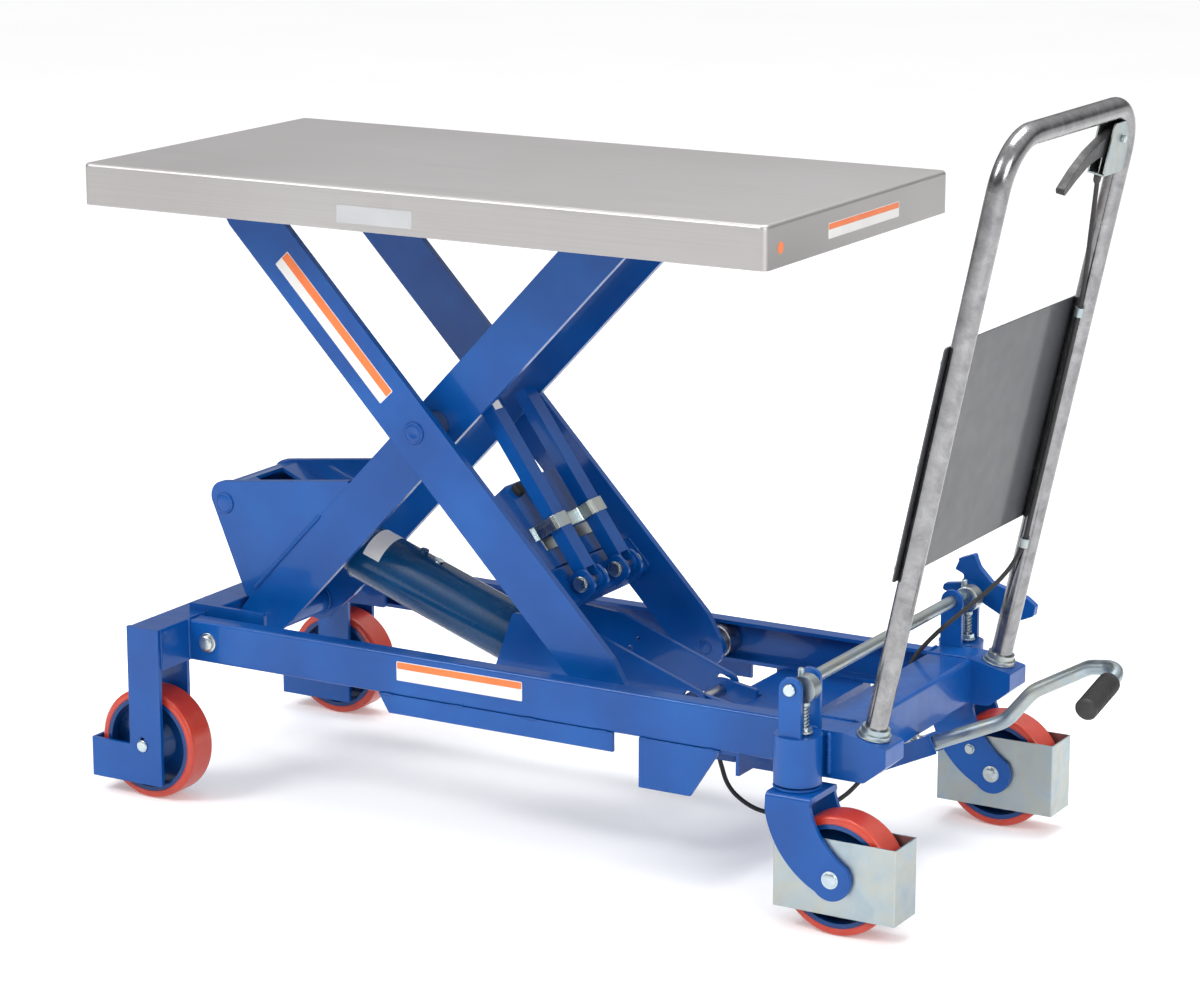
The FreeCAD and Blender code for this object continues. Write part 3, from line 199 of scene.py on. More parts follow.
def steel_mat(name, base=(0.5, 0.5, 0.5), rough=(0.25, 0.42)):
    m, nt, p = new_mat(name)
    v = coords(nt)
    n = noise(nt, v, 110.0, 5.0, 0.7)
    lo = tuple(c * 0.8 for c in base)
    col = ramp(nt, n, [(0.3, lo), (0.7, base)])
    nt.links.new(col, p.inputs["Base Color"])
    nt.links.new(span(nt, n, rough[0], rough[1]), p.inputs["Roughness"])
    bump(nt, p, noise(nt, v, 700.0, 2.0), 0.06, 0.0002, 0.0005)
    setp(p, Metallic=1.0)
    return m


def plastic_mat(name, base, light, rough=(0.3, 0.42), grain=600.0, strength=0.10, sub=0.0, coat=0.0):
    m, nt, p = new_mat(name)
    v = coords(nt)
    n = noise(nt, v, 24.0, 4.0)
    col = ramp(nt, n, [(0.3, base), (0.75, light)])
    nt.links.new(col, p.inputs["Base Color"])
    nt.links.new(span(nt, noise(nt, v, 90.0, 4.0), rough[0], rough[1]), p.inputs["Roughness"])
    bump(nt, p, noise(nt, v, grain, 3.0), strength, 0.0004, 0.0008)
    setp(p, Specular_IOR_Level=0.5)
    if sub > 0:
        p.inputs["Subsurface Weight"].default_value = sub
        p.inputs["Subsurface Radius"].default_value = (0.006, 0.0015, 0.001)
        p.inputs["Subsurface Scale"].default_value = 0.5
    if coat > 0:
        setp(p, Coat_Weight=coat, Coat_Roughness=0.12)
    return m


M = {}
M["blue"] = paint_mat("powder_blue", (0.0006, 0.066, 0.290), (0.0005, 0.055, 0.252), (0.0015, 0.082, 0.335))
M["hub"] = paint_mat("hub_blue", (0.0022, 0.040, 0.165), (0.0016, 0.032, 0.135), (0.004, 0.055, 0.21), (0.25, 0.38))
M["cyl"] = paint_mat("cylinder_blue", (0.0020, 0.048, 0.140), (0.0016, 0.038, 0.115), (0.004, 0.062, 0.17), (0.2, 0.32), 0.05)
M["steel"] = stainless_mat("brushed_stainless")
M["zinc"] = zinc_mat("zinc_plate")
M["bolt"] = zinc_mat("bolt_zinc", 1.35, (0.22, 0.36))
M["tube"] = tube_mat("plated_tube")
M["machined"] = steel_mat("machined_steel")
M["chrome"] = steel_mat("ground_chrome", (0.68, 0.68, 0.70), (0.08, 0.16))
M["tread"] = plastic_mat("polyurethane", (0.43, 0.030, 0.013), (0.52, 0.045, 0.019), (0.28, 0.42), 500.0, 0.06, 0.06, 0.2)
M["black"] = plastic_mat("black_plastic", (0.014, 0.014, 0.015), (0.024, 0.024, 0.026), (0.34, 0.5), 900.0, 0.18)
M["rubber"] = plastic_mat("black_rubber", (0.012, 0.012, 0.012), (0.022, 0.022, 0.022), (0.5, 0.68), 1200.0, 0.2)
M["panel"] = paint_mat("panel_grey", (0.062, 0.064, 0.070), (0.056, 0.058, 0.064), (0.070, 0.072, 0.078), (0.42, 0.52), 0.06)
M["white"] = plastic_mat("label_white", (0.74, 0.73, 0.71), (0.80, 0.79, 0.77), (0.35, 0.45), 300.0, 0.03)
M["orange"] = plastic_mat("label_orange", (0.80, 0.16, 0.035), (0.86, 0.20, 0.045), (0.35, 0.45), 300.0, 0.03)
M["plate"] = plastic_mat("label_grey", (0.40, 0.405, 0.415), (0.44, 0.445, 0.455), (0.35, 0.45), 300.0, 0.03)
M["dark"] = plastic_mat("dark_grease", (0.010, 0.010, 0.011), (0.02, 0.018, 0.016), (0.3, 0.5))

SLOT = {"blue_paint": "blue", "hub": "hub", "tread": "tread", "stainless": "steel", "zinc": "zinc",
        "bright_steel": "chrome", "handle_steel": "tube", "panel_grey": "panel", "black_plastic": "black",
        "black_rubber": "rubber", "machined": "machined"}
slot_of = {s["node"]: s["material_slot"] for s in frame["record"]["subparts"]}
for name, obj in nodes.items():
    key = SLOT[slot_of[name]]
    if name == "cylinder":
        key = "cyl"
    obj.data.materials.clear()
    obj.data.materials.append(M[key])


# ------------------------------------------------------------------ geometry helpers
def make(name, bm, mat, body, smooth=True):
    me = bpy.data.meshes.new(name)
    bm.normal_update()
    bm.to_mesh(me)
    bm.free()
    for f in me.polygons:
        f.use_smooth = smooth
    o = bpy.data.objects.new(name, me)
    bpy.context.scene.collection.objects.link(o)
    me.materials.append(M[mat])
    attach(o, body)
    return o


def basis(axis):
    a = axis.normalized()
    ref = V3(0, 0, 1) if abs(a.z) < 0.9 else V3(1, 0, 0)
    u = a.cross(ref).normalized()
    w = a.cross(u).normalized()
    return a, u, w


def ring_surface(bm, rings, closed_len=False, cap=True):
    rows = []
    for ring in rings:
        rows.append([bm.verts.new(p) for p in ring])
    n = len(rows[0])
    count = len(rows)
    last = count if closed_len else count - 1
    for i in range(last):
        a = rows[i]
        b = rows[(i + 1) % count]
        for j in range(n):
            bm.faces.new((a[j], a[(j + 1) % n], b[(j + 1) % n], b[j]))
    if cap and not closed_len:
        bm.faces.new(list(reversed(rows[0])))
        bm.faces.new(rows[-1])
    return rows


def lathe(name, origin, axis, profile, mat, body, segs=32, smooth=True):
    """profile: (along, radius) in mm."""
    a, u, w = basis(axis)
    rings = []
    for s, r in profile:
        c = origin + a * (s / 1000.0)
        rings.append([c + (u * math.cos(2 * math.pi * k / segs) + w * math.sin(2 * math.pi * k / segs)) * (max(r, 0.01) / 1000.0)
                      for k in range(segs)])
    bm = bmesh.new()
    ring_surface(bm, rings)
    bmesh.ops.recalc_face_normals(bm, faces=bm.faces)
    o = make(name, bm, mat, body)
    m = o.modifiers.new("edges", "EDGE_SPLIT")
    m.split_angle = math.radians(40)
    return o


def hexhead(name, origin, axis, across, height, mat, body, turn=0.2, washer=0.0):
    """Chamfered hexagon head or nut on a washer."""
    a, u, w = basis(axis)
    r = across / 2.0 / math.cos(math.pi / 6)
    bm = bmesh.new()
    rings = []
    base = 0.0
    segs = 36
    if washer > 0:
        rings_w = []
        for s, rr in ((0, washer), (1.3, washer), (1.6, washer - 0.5), (1.6, 2.0)):
            rings_w.append([origin + a * (s / 1000) + (u * math.cos(2 * math.pi * k / segs) + w * math.sin(2 * math.pi * k / segs)) * rr / 1000 for k in range(segs)])
        ring_surface(bm, rings_w)
        base = 1.6
    def rad(k, lim):
        ang = 2 * math.pi * k / segs
        sector = (ang + math.pi / 6) % (math.pi / 3) - math.pi / 6
        return min(across / 2.0 / math.cos(sector), lim)
    for s, lim in ((base, r), (base + height * 0.82, r), (base + height * 0.93, r * 0.955), (base + height, r * 0.88)):
        rings.append([origin + a * (s / 1000) + (u * math.cos(2 * math.pi * k / segs + turn) + w * math.sin(2 * math.pi * k / segs + turn)) * rad(k, lim) / 1000
                      for k in range(segs)])
    ring_surface(bm, rings)
    bmesh.ops.recalc_face_normals(bm, faces=bm.faces)
    o = make(name, bm, mat, body)
    m = o.modifiers.new("edges", "EDGE_SPLIT")
    m.split_angle = math.radians(28)
    return o


def tube_along(bm, pts, radii, segs=10, closed=False):
    rings = []
    n = len(pts)
    up = None
    for i, p in enumerate(pts):
        a = pts[(i + 1) % n] if (closed or i + 1 < n) else pts[i]
        b = pts[i - 1] if (closed or i > 0) else pts[i]
        t = (a - b).normalized()
        if up is None:
            _, u, _ = basis(t)
        else:
            u = (up - t * up.dot(t)).normalized()
        up = u
        w = t.cross(u)
        r = radii[i]
        rings.append([p + (u * math.cos(2 * math.pi * k / segs) + w * math.sin(2 * math.pi * k / segs)) * r for k in range(segs)])
    ring_surface(bm, rings, closed)


def resample(pts, step, closed=False):
    out = []
    seq = list(pts) + ([pts[0]] if closed else [])
    for i in range(len(seq) - 1):
        a = seq[i]
        b = seq[i + 1]
        n = max(1, int((b - a).length / step))
        for k in range(n):
            out.append(a.lerp(b, k / n))
    if not closed:
        out.append(seq[-1])
    return out


RNG = random.Random(11)


def bead(name, pts, r, body, closed=False, mat="blue", pitch=3.0):
    """Weld bead: overlapping ripples along a line."""
    step = 0.0007
    line = resample(pts, step, closed)
    bm = bmesh.new()
    radii = []
    wob = []
    dist = 0.0
    for i, p in enumerate(line):
        if i:
            dist += (p - line[i - 1]).length * 1000
        ph = (dist / pitch) % 1.0
        radii.append(r / 1000.0 * (0.80 + 0.34 * math.sqrt(max(0.0, 1 - ph)) + RNG.uniform(-0.02, 0.02)))
        n = mnoise.noise_vector(p * 160.0)
        wob.append(p + n * 0.0003)
    if not closed:
        m = len(radii)
        for i in range(min(4, m)):
            f = (i + 1) / 5.0
            radii[i] *= f
            radii[m - 1 - i] *= f
    tube_along(bm, wob, radii, 9, closed)
    bmesh.ops.recalc_face_normals(bm, faces=bm.faces)
    return make(name, bm, mat, body)


def circle(c, axis, r, n=72):
    a, u, w = basis(axis)
    return [c + (u * math.cos(2 * math.pi * k / n) + w * math.sin(2 * math.pi * k / n)) * (r / 1000.0) for k in range(n)]


def sticker(name, corner, du, dv, mat, body, thick=0.15, radius=2.0):
    """Thin label with rounded corners, from a corner and two edge vectors in metres."""
    w = du.length
    h = dv.length
    u = du.normalized()
    v = dv.normalized()
    n = u.cross(v).normalized()
    r = min(radius / 1000.0, w * 0.3, h * 0.3)
    outline = []
    for cx, cy, a0 in ((w - r, h - r, 0), (r, h - r, 90), (r, r, 180), (w - r, r, 270)):
        for k in range(5):
            ang = math.radians(a0 + 90 * k / 4)
            outline.append(corner + u * (cx + r * math.cos(ang)) + v * (cy + r * math.sin(ang)))
    bm = bmesh.new()
    low = [bm.verts.new(p) for p in outline]
    high = [bm.verts.new(p + n * (thick / 1000.0)) for p in outline]
    bm.faces.new(list(reversed(low)))
    bm.faces.new(high)
    c = len(low)
    for i in range(c):
        bm.faces.new((low[i], low[(i + 1) % c], high[(i + 1) % c], high[i]))
    return make(name, bm, mat, body, False)


def slab(name, outline, extrude, mat, body, bevel=0.4, segs=2):
    """Solid from a planar outline and an extrusion vector (metres), with softened edges."""
    bm = bmesh.new()
    vs = [bm.verts.new(p) for p in outline]
    f = bm.faces.new(vs)
    r = bmesh.ops.extrude_face_region(bm, geom=[f])
    bmesh.ops.translate(bm, vec=extrude, verts=[e for e in r["geom"] if isinstance(e, bmesh.types.BMVert)])
    bmesh.ops.recalc_face_normals(bm, faces=bm.faces)
    o = make(name, bm, mat, body, False)
    if bevel > 0:
        b = o.modifiers.new("bevel", "BEVEL")
        b.width = bevel / 1000.0
        b.segments = segs
        b.limit_method = "ANGLE"
    return o


X = V3(1, 0, 0)
Y = V3(0, 1, 0)
Z = V3(0, 0, 1)

# ------------------------------------------------------------------ scissor geometry
BX, BZ = 136.0, 213.5
TH = math.asin((836.5 - 213.5) / 860.0)
CT, ST = math.cos(TH), math.sin(TH)
MX, MZ = BX + 430 * CT, BZ + 430 * ST
RX = BX + 860 * CT


def outer_at(s, n, y=0.0):
    return L(MX + s * CT + n * ST, y, MZ - s * ST + n * CT)


def inner_at(s, n, y=0.0):
    return L(MX + s * CT - n * ST, y, MZ + s * ST + n * CT)


# weld rings round the centre pivots, on the outer arms
for sd in (-1, 1):
    tag = "near" if sd < 0 else "far"
    bead("weld_centre_" + tag, circle(L(MX, sd * 132.9, MZ), Y, 13.2), 2.0, "outer_frame", True)
    lathe("centre_pin_face_" + tag, L(MX, sd * 132.4, MZ), Y * sd,
          [(0, 12), (1.3, 12), (1.9, 11), (1.9, 6), (1.2, 4.5), (1.2, 0)], "blue", "outer_frame")
    bead("weld_lift_pin_" + tag, circle(L(88, sd * 80.6, 378), Y, 12.8), 1.8, "inner_frame", True)
    lathe("lift_pin_face_" + tag, L(88, sd * 81.0, 378), Y * sd, [(0, 11.6), (0.8, 11.4), (1.0, 10.8), (1.0, 0)], "blue", "inner_frame")
    # butt weld between the lifting bracket and the inner arm
    line = []
    for s in range(-395, -232, 6):
        line.append(inner_at(s, 35.2, sd * 80.5))
    bead("weld_bracket_" + tag, line, 2.6, "inner_frame", False)
    # centre pivot boss between the arms
    bead("weld_boss_" + tag, circle(L(MX, sd * 121.6, MZ), Y, 22.2), 1.8, "outer_frame", True)
    # crossmember to outer arms
    for nn, dn in ((8, 1.0), (-26, -1.0)):
        bead("weld_beam_%s_%d" % (tag, int(nn)), [outer_at(249, nn + dn, sd * 121.6), outer_at(297, nn + dn, sd * 121.6)], 2.4, "outer_frame")
    # pivot tubes to inner arms
    bead("weld_tube_low_" + tag, circle(L(BX, sd * 69.2, BZ), Y, 21.6), 2.0, "inner_frame", True)
    tp = inner_at(345, 0, sd * 69.3)
    bead("weld_tube_high_" + tag, circle(tp, Y, 17.5), 1.8, "inner_frame", True)
    # upper pivot head
    lathe("upper_pin_head_" + tag, L(BX, sd * 150.0, 836.5), Y * sd, [(0, 13), (0.8, 13), (1.6, 12), (1.6, 0)], "bolt", "platform")
    # roller end washers
    lathe("roller_washer_" + tag, L(RX, sd * 105.1, 836.5), Y * sd, [(0, 7.9), (0.2, 11), (1.3, 11), (1.3, 7)], "bolt", "inner_frame")

# ------------------------------------------------------------------ base frame welds and bolts
for sd in (-1, 1):
    tag = "near" if sd < 0 else "far"
    y = sd * 192.4
    bead("weld_rail_rear_" + tag, [L(105.2, sd * 168, 242.4), L(105.2, sd * 190.4, 242.4), L(105.2, sd * 192.9, 240.0), L(105.2, sd * 192.9, 186.0)], 2.3, "base")
    bead("weld_rail_front_" + tag, [L(1037.6, sd * 168, 242.3), L(1037.6, sd * 190.4, 242.3), L(1037.6, sd * 192.8, 240.0), L(1037.6, sd * 192.8, 187.0)], 2.3, "base")
    for x0 in (420, 530, 640, 746):
        bead("weld_skirt_%s_%d" % (tag, x0), [L(x0 - 5, y, 184.7), L(x0 + 14, y, 184.7)], 1.5, "base")
    for x0 in (812, 905):
        bead("weld_skirt2_%s_%d" % (tag, x0), [L(x0 - 6, y, 184.7), L(x0 + 8, y, 184.7)], 1.6, "base")
    # rear leg plates to beam
    bead("weld_leg_" + tag, [L(54, sd * 198.5, 184.6), L(103, sd * 198.5, 184.6)], 2.2, "base")
    bead("weld_leg_front_" + tag, [L(104.6, sd * 255.0, 187), L(104.6, sd * 255.0, 240)], 1.8, "base")
    # pivot bolt head and washer on the rail
    lathe("pivot_bolt_" + tag, L(BX, sd * 192.4, BZ), Y * sd,
          [(0, 13.5), (1.8, 13.5), (2.2, 13.0), (2.2, 10.6), (6.2, 10.4), (7.4, 9.2), (7.8, 7.0), (7.8, 0)], "bolt", "base")
    # rear axle ends
    lathe("rear_axle_end_" + tag, L(73, sd * 261.0, 76), Y * sd,
          [(0, 8.2), (1.6, 8.2), (2.4, 7.4), (2.6, 5.5), (2.6, 0)], "bolt", "base")
    # housing collar weld and socket welds
    bead("weld_housing_top_" + tag, [L(1052, sd * 207.6, 242.3) + V3(k, 0, 0) for k in (-0.012, 0.0, 0.012)], 2.4, "base")
    c = L(1052, sd * 238, 0)
    arc = []
    for k in range(0, 13):
        ang = math.radians(-118 + 4.5 * k) if sd > 0 else math.radians(118 - 4.5 * k)
        arc.append(V3(c.x + 0.0306 * math.cos(ang), c.y + 0.0306 * math.sin(ang), 0.2425))
    bead("weld_socket_top_" + tag, arc, 3.4, "base", False, "blue", 4.5)
    corner = L(1081.5, sd * 211.5, 0)
    bead("weld_socket_side_" + tag, [V3(corner.x - 0.0005, corner.y, 0.186), V3(corner.x - 0.0005, corner.y, 0.241)], 3.6, "base", False, "blue", 4.5)
    bead("weld_beam_end_" + tag, [L(1040, sd * 160.2, 242.3), L(1096, sd * 160.2, 242.3)], 2.0, "base")

# props hardware
for sd in (-1, 1):
    tag = "near" if sd < 0 else "far"
    for k in (-1, 1):
        p = outer_at(286, 26, sd * 45 + k * 25.4)
        hexhead("prop_bolt_%s_%d" % (tag, k), outer_at(286, 26, sd * 45 + k * 26.6), Y * k, 16.6, 1.2 if k > 0 else 1.0, "bolt", "outer_frame", 0.2, 10.5)

# prop clips: one plated strap across each prop
pa = outer_at(286, 26)
pb = outer_at(18, 66)
pu = (pb - pa).normalized()
pn = V3(-pu.z, 0, pu.x)
if pn.z < 0:
    pn = -pn
line = [(-72, -27.0), (-63, -25.5), (-60.5, 10.2), (-30.0, 10.2), (-27.5, -12), (27.5, -12), (30.0, 10.2), (60.5, 10.2), (63, 2), (70, -2)]
pts = []
for i in range(len(line) - 1):
    for k in range(6):
        f = k / 6.0
        pts.append((line[i][0] * (1 - f) + line[i + 1][0] * f, line[i][1] * (1 - f) + line[i + 1][1] * f))
pts.append(line[-1])
soft = []
for i in range(len(pts)):
    j0, j1 = max(0, i - 1), min(len(pts) - 1, i + 1)
    soft.append(((pts[j0][0] + pts[i][0] * 2 + pts[j1][0]) / 4.0, (pts[j0][1] + pts[i][1] * 2 + pts[j1][1]) / 4.0))
top = []
for i in range(len(soft)):
    j0, j1 = max(0, i - 1), min(len(soft) - 1, i + 1)
    tx, tz = soft[j1][0] - soft[j0][0], soft[j1][1] - soft[j0][1]
    ln = math.hypot(tx, tz) or 1.0
    top.append((soft[i][0] - tz / ln * 1.8, soft[i][1] + tx / ln * 1.8))
base = pa + pu * 0.078
outline = [base + Y * (a / 1000) + pn * (b / 1000) for a, b in soft + list(reversed(top))]
slab("prop_strap_band", outline, pu * 0.019, "bolt", "outer_frame", 0.3)

# rubber plug on the crossmember
lathe("stop_plug", outer_at(132, 17.2, -44), outer_at(0, 1) - outer_at(0, 0), [(0, 9), (6, 9), (8, 7.5), (8.4, 0)], "rubber", "outer_frame", 28)

# ------------------------------------------------------------------ cylinder details
A = math.radians(19.5)
UA = V3(math.cos(A), 0, -math.sin(A))
UN = V3(math.sin(A), 0, math.cos(A))
P0 = L(88, 0, 378)


def unit(u, n, y=0.0):
    return P0 + UA * (u / 1000) + UN * (n / 1000) + Y * (y / 1000)


lathe("gland_nut", unit(172, 0), UA, [(0, 24), (0.5, 33), (2, 34.5), (14, 34.5), (15, 36)], "cyl", "cylinder_unit", 48)
bead("weld_head", circle(unit(188, 0), UA, 39.4), 1.4, "cylinder_unit", True, "cyl")
bead("weld_foot", circle(unit(534, 0), UA, 40.2), 2.4, "cylinder_unit", True, "cyl")
lathe("bleed_plug", unit(300, 39.6), UN, [(0, 7), (3, 7), (3.4, 6), (3.4, 0)], "bolt", "cylinder_unit", 24)
# white label band near the head, wrapped on the near side of the cylinder
bm = bmesh.new()
rows = []
for k in range(25):
    ang = math.radians(20 + 110 * k / 24)
    d = UN * math.sin(ang) - Y * math.cos(ang)
    rows.append([bm.verts.new(unit(205, 0) + d * 0.04025), bm.verts.new(unit(232, 0) + d * 0.04025)])
for i in range(24):
    bm.faces.new((rows[i][0], rows[i][1], rows[i + 1][1], rows[i + 1][0]))
make("cylinder_label", bm, "white", "cylinder_unit")

# ------------------------------------------------------------------ labels
def lab(name, x0, x1, z0, z1, y, mat, body):
    return sticker(name, L(x0, y, z0), X * ((x1 - x0) / 1000), Z * ((z1 - z0) / 1000), mat, body, 0.15, 1.5)


lab("rail_label", 440, 632, 206, 232, -192.4, "white", "base")
lab("rail_label_stripe", 441, 631, 222.0, 231, -192.56, "orange", "base")
lab("name_plate", 400, 513, 818, 841, -255.0, "plate", "platform")
# orange dot near the front corner of the near skirt, and label on the end skirt
lathe("corner_dot", L(1010.0, -218, 832.5), X, [(0, 7.5), (0.2, 7.5), (0.2, 0)], "orange", "platform", 30)
o = sticker("end_label", L(1010.0, -91, 824), Y * 0.199, Z * 0.0195, "white", "platform", 0.15, 1.5)
o = sticker("end_label_stripe", L(1010.16, -90, 835.5), Y * 0.197, Z * 0.0072, "orange", "platform", 0.15, 1.0)
# arm label along the near outer arm
da = (outer_at(1, 0) - outer_at(0, 0)).normalized()
na = (outer_at(0, 1) - outer_at(0, 0)).normalized()
sticker("arm_label", outer_at(-296, -14, -132.4), da * 0.236, na * 0.027, "white", "outer_frame", 0.15, 1.5)
sticker("arm_label_stripe", outer_at(-295, 0, -132.56), da * 0.234, na * 0.012, "orange", "outer_frame", 0.15, 1.0)
pq = pa + pu * 0.255
sticker("prop_label", pq + Y * (-0.054) + pn * 0.0096, pu * 0.012, Y * 0.018, "white", "prop_near", 0.15, 0.8)

# ------------------------------------------------------------------ casters
for sd in (-1, 1):
    tag = "near" if sd < 0 else "far"
    y = sd * 238.0
    body = "caster_" + tag
    for k in (-1, 1):
        lathe("caster_pin_%s_%d" % (tag, k), L(1116, y + k * 37.0, 76), Y * k,
              [(0, 11.2), (0.9, 11.2), (1.0, 8.8), (1.9, 8.6), (2.4, 7.6), (2.5, 0)], "bolt", body, 36)
    # bearing seals at the hub
    lathe("fork_bearing_" + tag, L(1052, y, 174.2), Z, [(0, 30), (2.0, 30.5), (3.4, 29.0), (3.4, 24.2)], "blue", body, 40)
    bead("weld_fork_" + tag, circle(L(1052, y, 174.0), Z, 24.6), 1.6, body, True)
    bead("weld_guard_" + tag, [L(1040, y - 27, 124.2), L(1040, y + 27, 124.2)], 0.9, body, False, "zinc")

hexhead("fork_bolt_far", L(1085, 201.0, 106), -Y, 10, 3.0, "bolt", "caster_far", 0.4, 7.0)
for sd in (-1, 1):
    tag = "near" if sd < 0 else "far"
    lathe("axle_cover_" + tag, L(RX, sd * 122.1, BZ), Y * -sd, [(-0.2, 8.6), (0.2, 8.5), (0.4, 7.5), (0.4, 0)], "blue", "outer_frame", 30)
    bead("axle_weld_" + tag, circle(L(RX, sd * 122.3, BZ), Y, 9.0), 1.1, "outer_frame", True)

# wheel bearing caps, moulding lines and hub faces
WH = [("rear_wheel_near", 73, -226.5), ("rear_wheel_far", 73, 226.5), ("caster_wheel_near", 1116, -238.0), ("caster_wheel_far", 1116, 238.0)]
for body, x, y in WH:
    for k in (-1, 1):
        lathe("bearing_%s_%d" % (body, k), L(x, y + k * 25.5, 76), Y * k, [(0, 22.0), (0.8, 21.4), (1.2, 19), (0.6, 18.5), (0.6, 13), (1.2, 12.5), (1.2, 9)], "machined", body, 40)
        bead("mould_%s_%d" % (body, k), circle(L(x, y + k * 22.9, 76), Y, 67.2, 90), 0.7, body, True, "tread", 400.0)

# ------------------------------------------------------------------ handle details
TILT = math.radians(12)
TD = V3(math.sin(TILT), 0, math.cos(TILT))
TN = V3(math.cos(TILT), 0, -math.sin(TILT))


def tube_x(z):
    return 1129 + (z - 231) * math.tan(TILT)


def hp(y, s, off=0.0):
    return L(tube_x(s), y, s) + TN * (off / 1000)


for sd in (-1, 1):
    tag = "near" if sd < 0 else "far"
    for s in (452, 580, 708):
        lathe("panel_screw_%s_%d" % (tag, s), hp(sd * 199.5, s, -16), -TN, [(0, 3.6), (0.8, 3.5), (1.8, 2.4), (2.1, 0)], "bolt", "base", 20)
    lathe("tube_plug_" + tag, hp(sd * 187, 197, 0) - TD * 0.001, -TD, [(-1, 11.8), (0, 11.8), (0.1, 13.2), (2.2, 13.2), (3.2, 12), (3.4, 0)], "black", "base", 28)
    bead("weld_collar_" + tag, [L(1129, sd * 187, 237) + (TN * math.cos(a) + Y * math.sin(a)) * 0.0202 for a in [2 * math.pi * k / 60 for k in range(60)]], 1.0, "base", True, "zinc")

# lever bracket bolt and lever details
hexhead("lever_bolt", hp(150, 940, -12.4), -TN, 9, 3.0, "bolt", "base", 0.1)
hexhead("lever_nut", hp(150, 940, 12.4), TN, 9, 3.4, "bolt", "base", 0.4)
lathe("cable_ferrule", hp(126, 897.5, 0), V3(-0.21, 0.05, -1), [(0, 4.6), (2, 5), (11, 4.6), (13, 3.4), (14, 3.2)], "black", "base", 20)
lathe("cable_inner", hp(126, 918, 0), -TD, [(0, 1.1), (22, 1.1)], "machined", "base", 10)

# ------------------------------------------------------------------ brake details
for sd in (-1, 1):
    tag = "near" if sd < 0 else "far"
    y = sd * 238.0
    hexhead("guide_nut_" + tag, L(1060, y, 244.5), Z, 17, 6.0, "bolt", "base", 0.35, 11.0)
    lathe("set_screw_" + tag, L(1055, y, 320.6), Z, [(0, 3.8), (4, 3.8), (4.6, 3.2), (4.6, 1.6), (3.0, 1.5), (3.0, 0)], "bolt", "brake", 20)
    lathe("cam_ring_" + tag, L(1061.5, y - sd * 9.2, 300.5), Y * -sd, [(0, 17), (0.5, 16.6), (0.9, 15.5), (0.9, 9)], "bolt", "brake", 36)
lathe("shaft_end_near", L(1052, -264.5, 302.6), -Y, [(0, 7.9), (0.6, 7.8), (1.4, 7.0), (1.4, 0)], "bolt", "brake", 28)

# ------------------------------------------------------------------ foot pedal: ribbed grip
end = L(1370, -96, 286)
ua = (L(1370, -96, 286) - L(1376, -4, 313)).normalized()
g0 = end - ua * 0.062
prof = [(0, 10.5), (0.4, 12.6), (1.6, 13.6), (4.5, 14.2)]
s = 5.5
while s < 64.5:
    prof += [(s, 13.2), (s + 0.5, 12.9), (s + 1.3, 12.9), (s + 1.7, 13.2), (s + 2.1, 14.3), (s + 3.2, 14.4)]
    s += 3.8
prof += [(66.5, 14.3), (68.5, 14.3), (70.6, 13.2), (71.6, 11.0), (71.8, 0)]
grip = lathe("ribbed_grip", g0, ua, prof, "rubber", "foot_pedal", 44)
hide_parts("pedal_grip")
hexhead("pedal_screw", L(1100, 0, 177.6), V3(-math.sin(0.437), 0, math.cos(0.437)), 10, 3.0, "bolt", "foot_pedal", 0.2, 8.0)

# ------------------------------------------------------------------ stage, light and camera
fm, nt, p = new_mat("floor")
v = coords(nt)
nt.links.new(ramp(nt, noise(nt, v, 1.5, 2.0), [(0.3, (0.88, 0.88, 0.88)), (0.7, (0.90, 0.90, 0.90))]), p.inputs["Base Color"])
setp(p, Roughness=0.7, Specular_IOR_Level=0.2)
p.inputs["Emission Color"].default_value = (1, 1, 1, 1)
p.inputs["Emission Strength"].default_value = 0.22
bm = bmesh.new()
for p4 in ((-14, -14), (14, -14), (14, 14), (-14, 14)):
    bm.verts.new(V3(p4[0], p4[1], -0.0004))
bm.faces.new(bm.verts)
me = bpy.data.meshes.new("floor")
bm.to_mesh(me)
bm.free()
floor = bpy.data.objects.new("floor", me)
bpy.context.scene.collection.objects.link(floor)
me.materials.append(fm)

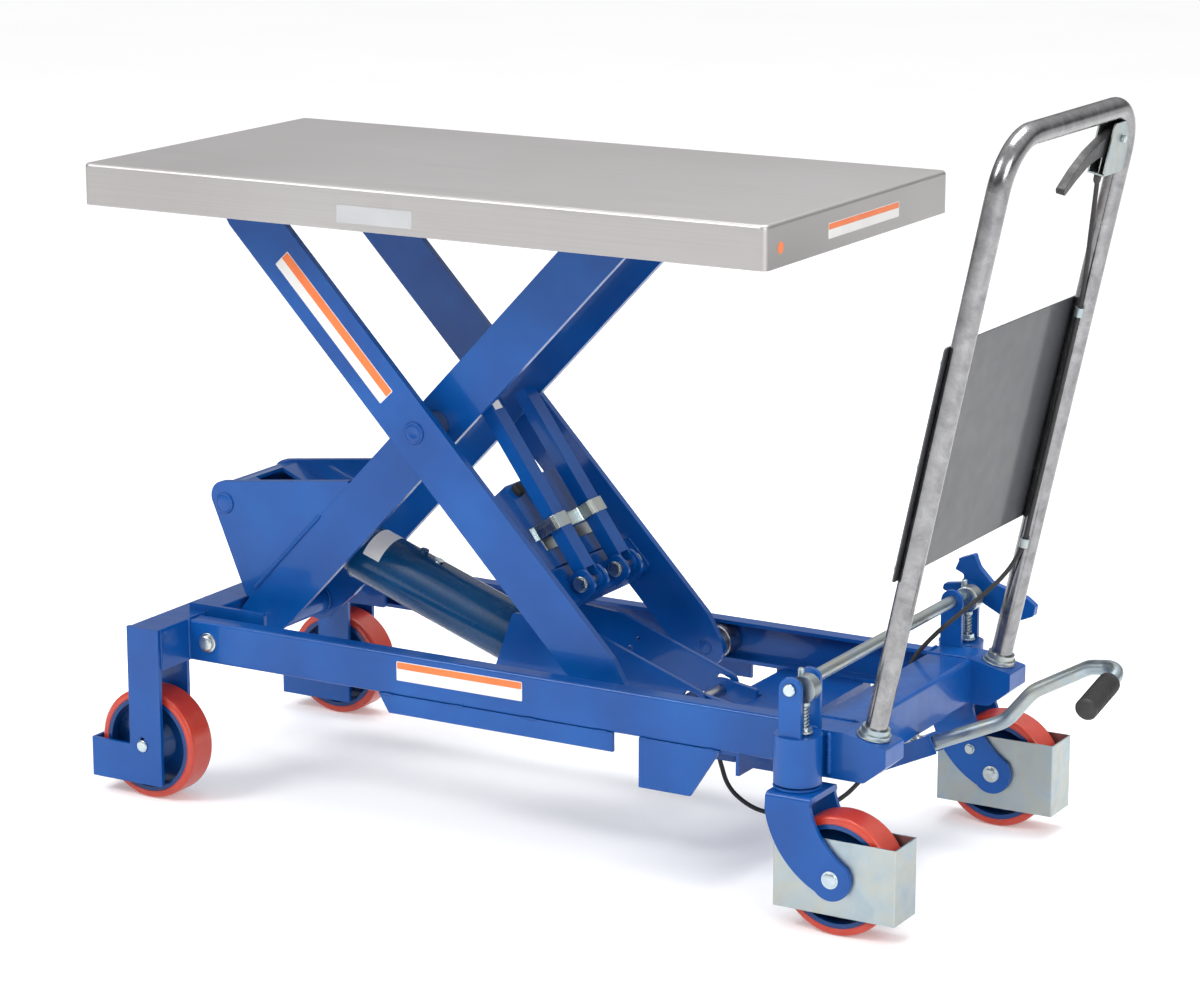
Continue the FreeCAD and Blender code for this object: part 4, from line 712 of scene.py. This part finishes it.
world = bpy.data.worlds.new("studio")
bpy.context.scene.world = world
world.use_nodes = True
wt = world.node_tree
for n in list(wt.nodes):
    wt.nodes.remove(n)
wo = wt.nodes.new("ShaderNodeOutputWorld")
bg = wt.nodes.new("ShaderNodeBackground")
tc = wt.nodes.new("ShaderNodeTexCoord")
sx = wt.nodes.new("ShaderNodeSeparateXYZ")
wt.links.new(tc.outputs["Generated"], sx.inputs["Vector"])
r = wt.nodes.new("ShaderNodeValToRGB")
cr = r.color_ramp
cr.elements[0].position = 0.0
cr.elements[0].color = (0.95, 0.95, 0.95, 1)
cr.elements[1].position = 1.0
cr.elements[1].color = (1.15, 1.15, 1.15, 1)
for pos, v in ((0.03, 0.30), (0.16, 0.22), (0.30, 0.55), (0.55, 1.05)):
    e = cr.elements.new(pos)
    e.color = (v, v, v * 1.02, 1)
wt.links.new(sx.outputs["Z"], r.inputs["Fac"])
wt.links.new(r.outputs["Color"], bg.inputs["Color"])
bg.inputs["Strength"].default_value = 0.85
wt.links.new(bg.outputs["Background"], wo.inputs["Surface"])


def area(name, loc, target, size, power, col=(1, 1, 1), sy=None):
    d = bpy.data.lights.new(name, "AREA")
    d.energy = power
    d.size = size
    d.color = col
    if sy:
        d.shape = "RECTANGLE"
        d.size_y = sy
    o = bpy.data.objects.new(name, d)
    o.location = loc
    o.rotation_euler = (Vector(target) - Vector(loc)).to_track_quat("-Z", "Y").to_euler()
    bpy.context.scene.collection.objects.link(o)
    return o


area("key", (-2.2, -3.0, 3.4), (0, 0, 0.4), 1.6, 95)
area("fill", (3.2, -2.2, 2.0), (0.2, 0, 0.5), 1.6, 60)
area("top", (0.2, 0.6, 4.2), (0, 0, 0.4), 2.4, 125)

cam_data = bpy.data.cameras.new("camera")
cam = bpy.data.objects.new("camera", cam_data)
bpy.context.scene.collection.objects.link(cam)
cam_data.lens = 3621.98 / 1200.0 * 36.0
cam_data.sensor_width = 36.0
cam_data.sensor_fit = "HORIZONTAL"
cam_data.clip_end = 60
yaw, pitch = -0.5236, 0.2379
d = V3(math.sin(yaw) * math.cos(pitch), math.cos(yaw) * math.cos(pitch), -math.sin(pitch))
cam.location = L(2947.8275, -4003.3088, 1564.7093)
cam.rotation_euler = d.to_track_quat("-Z", "Y").to_euler()
bpy.context.scene.camera = cam
bpy.context.scene.view_settings.view_transform = "Standard"
